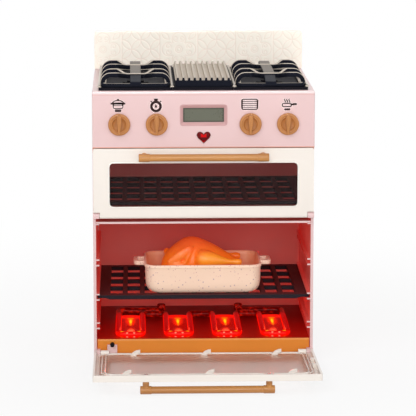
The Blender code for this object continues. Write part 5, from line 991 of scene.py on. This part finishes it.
def roasting_pan():
    """Rounded rectangles inside the rim's, as (inset across, inset deep, height): round the foot, up the outside,
    over the lip, and down inside to the floor. The handles are bent bars at the ends."""
    half_x, half_y, corner, lip = 56.8, 39.0, 12, 15
    levels = [(13.5, 6.0, 0.0), (10.0, 4.2, 0.2), (7.4, 3.1, 0.7), (5.0, 2.3, 1.7), (3.2, 1.7, 3.4), (1.9, 1.25, 5.8),
              (1.25, 1.05, 9.0), (0.95, 0.95, 12.5), (0.75, 0.75, 24.2), (0.65, 0.65, 24.5), (0.15, 0.15, 24.8),
              (0.0, 0.0, 25.3), (0.0, 0.0, 27.0), (0.25, 0.25, 27.5), (0.8, 0.8, 27.8), (1.5, 1.5, 27.8),
              (2.0, 2.0, 27.5), (2.3, 2.3, 27.0), (2.8, 2.8, 24.4), (3.1, 3.1, 12.5), (4.0, 3.6, 8.6),
              (6.0, 4.6, 4.8), (9.6, 6.8, 2.6), (13.5, 9.6, 2.1)]
    rings = [level(outline(half_x - x, half_y - y, max(corner - x * 0.5, 2.5), 8), z) for x, y, z in levels]
    inside = (np.arange(len(levels)) > lip).astype(float)
    shapes = [loft(rings, mark=inside[:, None])]
    for root, reach in ((-55.6, -65.2), (55.6, 65.2)):
        path = filleted([(root, -11.0), (reach, -11.0), (reach, 11.0), (root, 11.0)], [3.0, 3.0], 8)
        shapes.append(sweep(level(path, 25.4), outline(2.1, 1.9, 0.7, 4), (0, 0, 1)))
    return moved(joined(shapes), upright(0, PAN_Y, PAN_Z))


def lump(centre, radii):
    """An ellipsoid by two angles."""
    a, b = np.linspace(0.06, math.pi - 0.06, 18)[:, None], around(36)[None, :]
    return loft(np.stack([np.sin(a) * np.cos(b), np.sin(a) * np.sin(b), np.cos(a) + 0 * b], -1) * radii + centre)


def limb(path, radii, flat=1.0):
    """Ovals of the given radii about a path, flat times as thick across it as they are high."""
    path = np.asarray(path, float)
    t = np.linspace(0, 1, len(path))
    fine = np.linspace(0, 1, 30)
    path = np.stack([np.interp(fine, t, path[:, i]) for i in range(3)], -1)
    along = np.gradient(path, axis=0)
    along /= np.linalg.norm(along, axis=1)[:, None]
    side = np.cross(along, [0, 0, 1.0])
    side /= np.linalg.norm(side, axis=1)[:, None]
    up = np.cross(side, along)
    size = np.interp(fine, np.linspace(0, 1, len(radii)), radii)[:, None, None]
    ring = circle(1.0, 24)[None]
    return loft(path[:, None] + size * (ring[..., :1] * flat * side[:, None] + ring[..., 1:] * up[:, None]))


def carcass():
    """Ovals along the bird, each as wide and high as it is there: steep at the neck, a long slope to the legs."""
    rows = np.array([(-40.3, 74, 86, 5), (-39.3, 72, 92, 9), (-37, 70, 97, 12.5), (-33, 69, 102, 15.5),
                     (-28, 68.2, 106.5, 17.8), (-23, 68.1, 110.3, 19.2), (-18, 68.1, 113.2, 20),
                     (-13, 68.1, 114.7, 20.4), (-9, 68.1, 114.8, 20.5), (-4, 68.1, 113.8, 20.2),
                     (2, 68.1, 111.6, 19.4), (9, 68.4, 108.3, 17.8), (16, 69.5, 104.4, 15.6), (23, 72, 100, 12.8),
                     (29, 76, 96, 9.5), (33, 80, 92.5, 6)])
    angle = around(40)
    x, low, high, wide = (rows[:, i, None] for i in range(4))
    y = wide * np.cos(angle) * (1 - 0.10 * np.sin(angle))
    z = (low + high) / 2 + (high - low) / 2 * np.sin(angle)
    return loft(np.stack([x + 0 * angle, y, z], -1))


def roast():
    """Carcass, neck, thighs, drumsticks and folded wings joined; a remesh makes one skin of them."""
    shapes = [carcass(), lump((-34.5, 8.0, 98.3), (3.2, 4.6, 4.0))]
    for side in (-1, 1):
        shapes.append(limb([(-6, side * 15.5, 95), (2, side * 17.2, 95.2), (10, side * 17.6, 94.4),
                            (18, side * 17.2, 93.4), (26, side * 16.6, 92.6), (33, side * 16.2, 92.2),
                            (38.4, side * 16, 92)],
                           (6.5, 9.6, 9.4, 8.6, 7.3, 5.8, 4.3, 3.2, 2.7, 3.4, 3.5, 2.6)))
        shapes.append(limb([(-9, side * 16, 107), (-14, side * 18.6, 104.5), (-22, side * 20.4, 99.5),
                            (-33, side * 19.6, 91.5)], (2.0, 4.4, 4.9, 4.6, 3.4), 0.62))
        shapes.append(limb([(-34, side * 18.5, 90.5), (-26, side * 21.5, 90), (-18, side * 21.8, 91)],
                           (2.6, 3.4, 3.0, 1.8), 0.7))
        shapes.append(limb([(-11, side * 19.2, 104), (-14, side * 20.2, 98), (-18.5, side * 20.2, 89)],
                           (0.8, 1.5, 1.6, 1.0)))
    points, faces, mark = joined(shapes)
    return points + [0, PAN_Y, 0], faces, mark


bird = put("roast_skin", roast(), ROAST, "roast", ["roast"], sharp=60)
skin = bird.modifiers.new("skin", "REMESH")
skin.mode = "VOXEL"
skin.voxel_size = 0.0009
skin.use_smooth_shade = True
ease = bird.modifiers.new("ease", "SMOOTH")
ease.factor = 0.5
ease.iterations = 8
put("pan_drawn", roasting_pan(), PAN, "pan", ["roasting_pan"])


# Floor, lamps and camera

def white_when_seen(work, share):
    """1, times share, for what the camera or a reflection sees directly."""
    path = work.add("ShaderNodeLightPath").outputs
    seen = work.math("MAXIMUM", path["Is Camera Ray"], path["Is Glossy Ray"])
    return work.times(work.math("MAXIMUM", seen, path["Is Transmission Ray"]), share)


def placed(name, data, at=(0, 0, 0)):
    """An object of the scene, at a place in metres."""
    made = bpy.data.objects.new(name, data)
    bpy.context.scene.collection.objects.link(made)
    made.location = at
    return made


def pale_floor():
    """A pale floor that keeps the object's shadow near it, and turns white further out."""
    size = 6.0
    mesh = bpy.data.meshes.new("studio_floor")
    mesh.from_pydata([(-size, -size, 0), (size, -size, 0), (size, size, 0), (-size, size, 0)], [], [(0, 1, 2, 3)])
    made, work, shader = material("pale_floor")
    fix(shader, Base_Color=(0.93, 0.93, 0.93, 1), Roughness=0.8, Specular_IOR_Level=0.0)
    white = work.add("ShaderNodeEmission", {"Color": (1, 1, 1, 1), "Strength": 1.0}).outputs[0]
    x, y, _ = work.axes()
    far = work.math("SQRT", work.plus(work.times(x, x), work.times(y, y)))
    share = work.span(far, 0.15, 0.7, 0.80, 1.0)
    both = work.add("ShaderNodeMixShader", {0: white_when_seen(work, share), 1: shader.outputs[0], 2: white})
    work.feed(made.node_tree.nodes["Material Output"].inputs["Surface"], both.outputs[0])
    mesh.materials.append(made)
    placed("studio_floor", mesh)


def soft_world():
    """A world that lights softly and looks white."""
    world = bpy.data.worlds.new("studio_world")
    bpy.context.scene.world = world
    world.use_nodes = True
    world.node_tree.nodes.clear()
    work = Tree(world.node_tree)
    soft, white = (work.add("ShaderNodeBackground", {"Color": (1, 1, 1, 1), "Strength": strength}).outputs[0]
                   for strength in (0.53, 1.0))
    both = work.add("ShaderNodeMixShader", {0: white_when_seen(work, 1.0), 1: soft, 2: white}).outputs[0]
    work.feed(work.add("ShaderNodeOutputWorld").inputs["Surface"], both)


def lamp(name, at, target, size, watts):
    """A rectangular lamp at a place, turned to its target. Here lengths are in metres."""
    data = bpy.data.lights.new(name, "AREA")
    data.shape = "RECTANGLE"
    data.size, data.size_y = size
    data.energy = watts
    x, y, z = np.array(target, float) - np.array(at, float)
    placed(name, data, at).rotation_euler = (math.pi / 2 + math.atan2(z, math.hypot(x, y)), 0, -math.atan2(x, y))
    return data


def studio():
    pale_floor()
    soft_world()
    lamp("key_lamp", (-0.9, -1.5, 1.7), (0, 0, 0.12), (1.2, 1.2), 10.5)
    lamp("fill_lamp", (1.4, -1.4, 1.0), (0, 0, 0.12), (1.2, 1.2), 3.5)
    lamp("front_lamp", (0.0, -3.2, 1.0), (0, 0, 0.1), (2.3, 1.0), 26.5)
    lamp("rear_lamp", (0.2, 1.6, 1.6), (0, 0, 0.15), (1.4, 1.0), 8)
    lamp("top_lamp", (0.0, -1.0, 1.0), (0, 0.09, 0.29), (0.5, 0.3), 0.07).spread = math.radians(14)

    for i, x in enumerate(LOOPS):
        data = bpy.data.lights.new(f"heater_glow_{i}", "POINT")
        data.energy = 0.012
        data.shadow_soft_size = 0.004
        data.color = (1.0, 0.06, 0.02)
        placed(data.name, data, (float(x) * MM, -0.03, 0.034))

    lens = bpy.data.cameras.new("camera")
    lens.lens = 213.06
    lens.sensor_width = 36.0
    lens.clip_end = 50.0
    camera = placed("camera", lens, (-0.0689, -2.414, 0.5579))
    camera.rotation_euler = (math.pi / 2 - 0.173, 0, -0.03148)
    bpy.context.scene.camera = camera
    bpy.context.scene.view_settings.view_transform = "Standard"


studio()
bpy.context.view_layer.update()
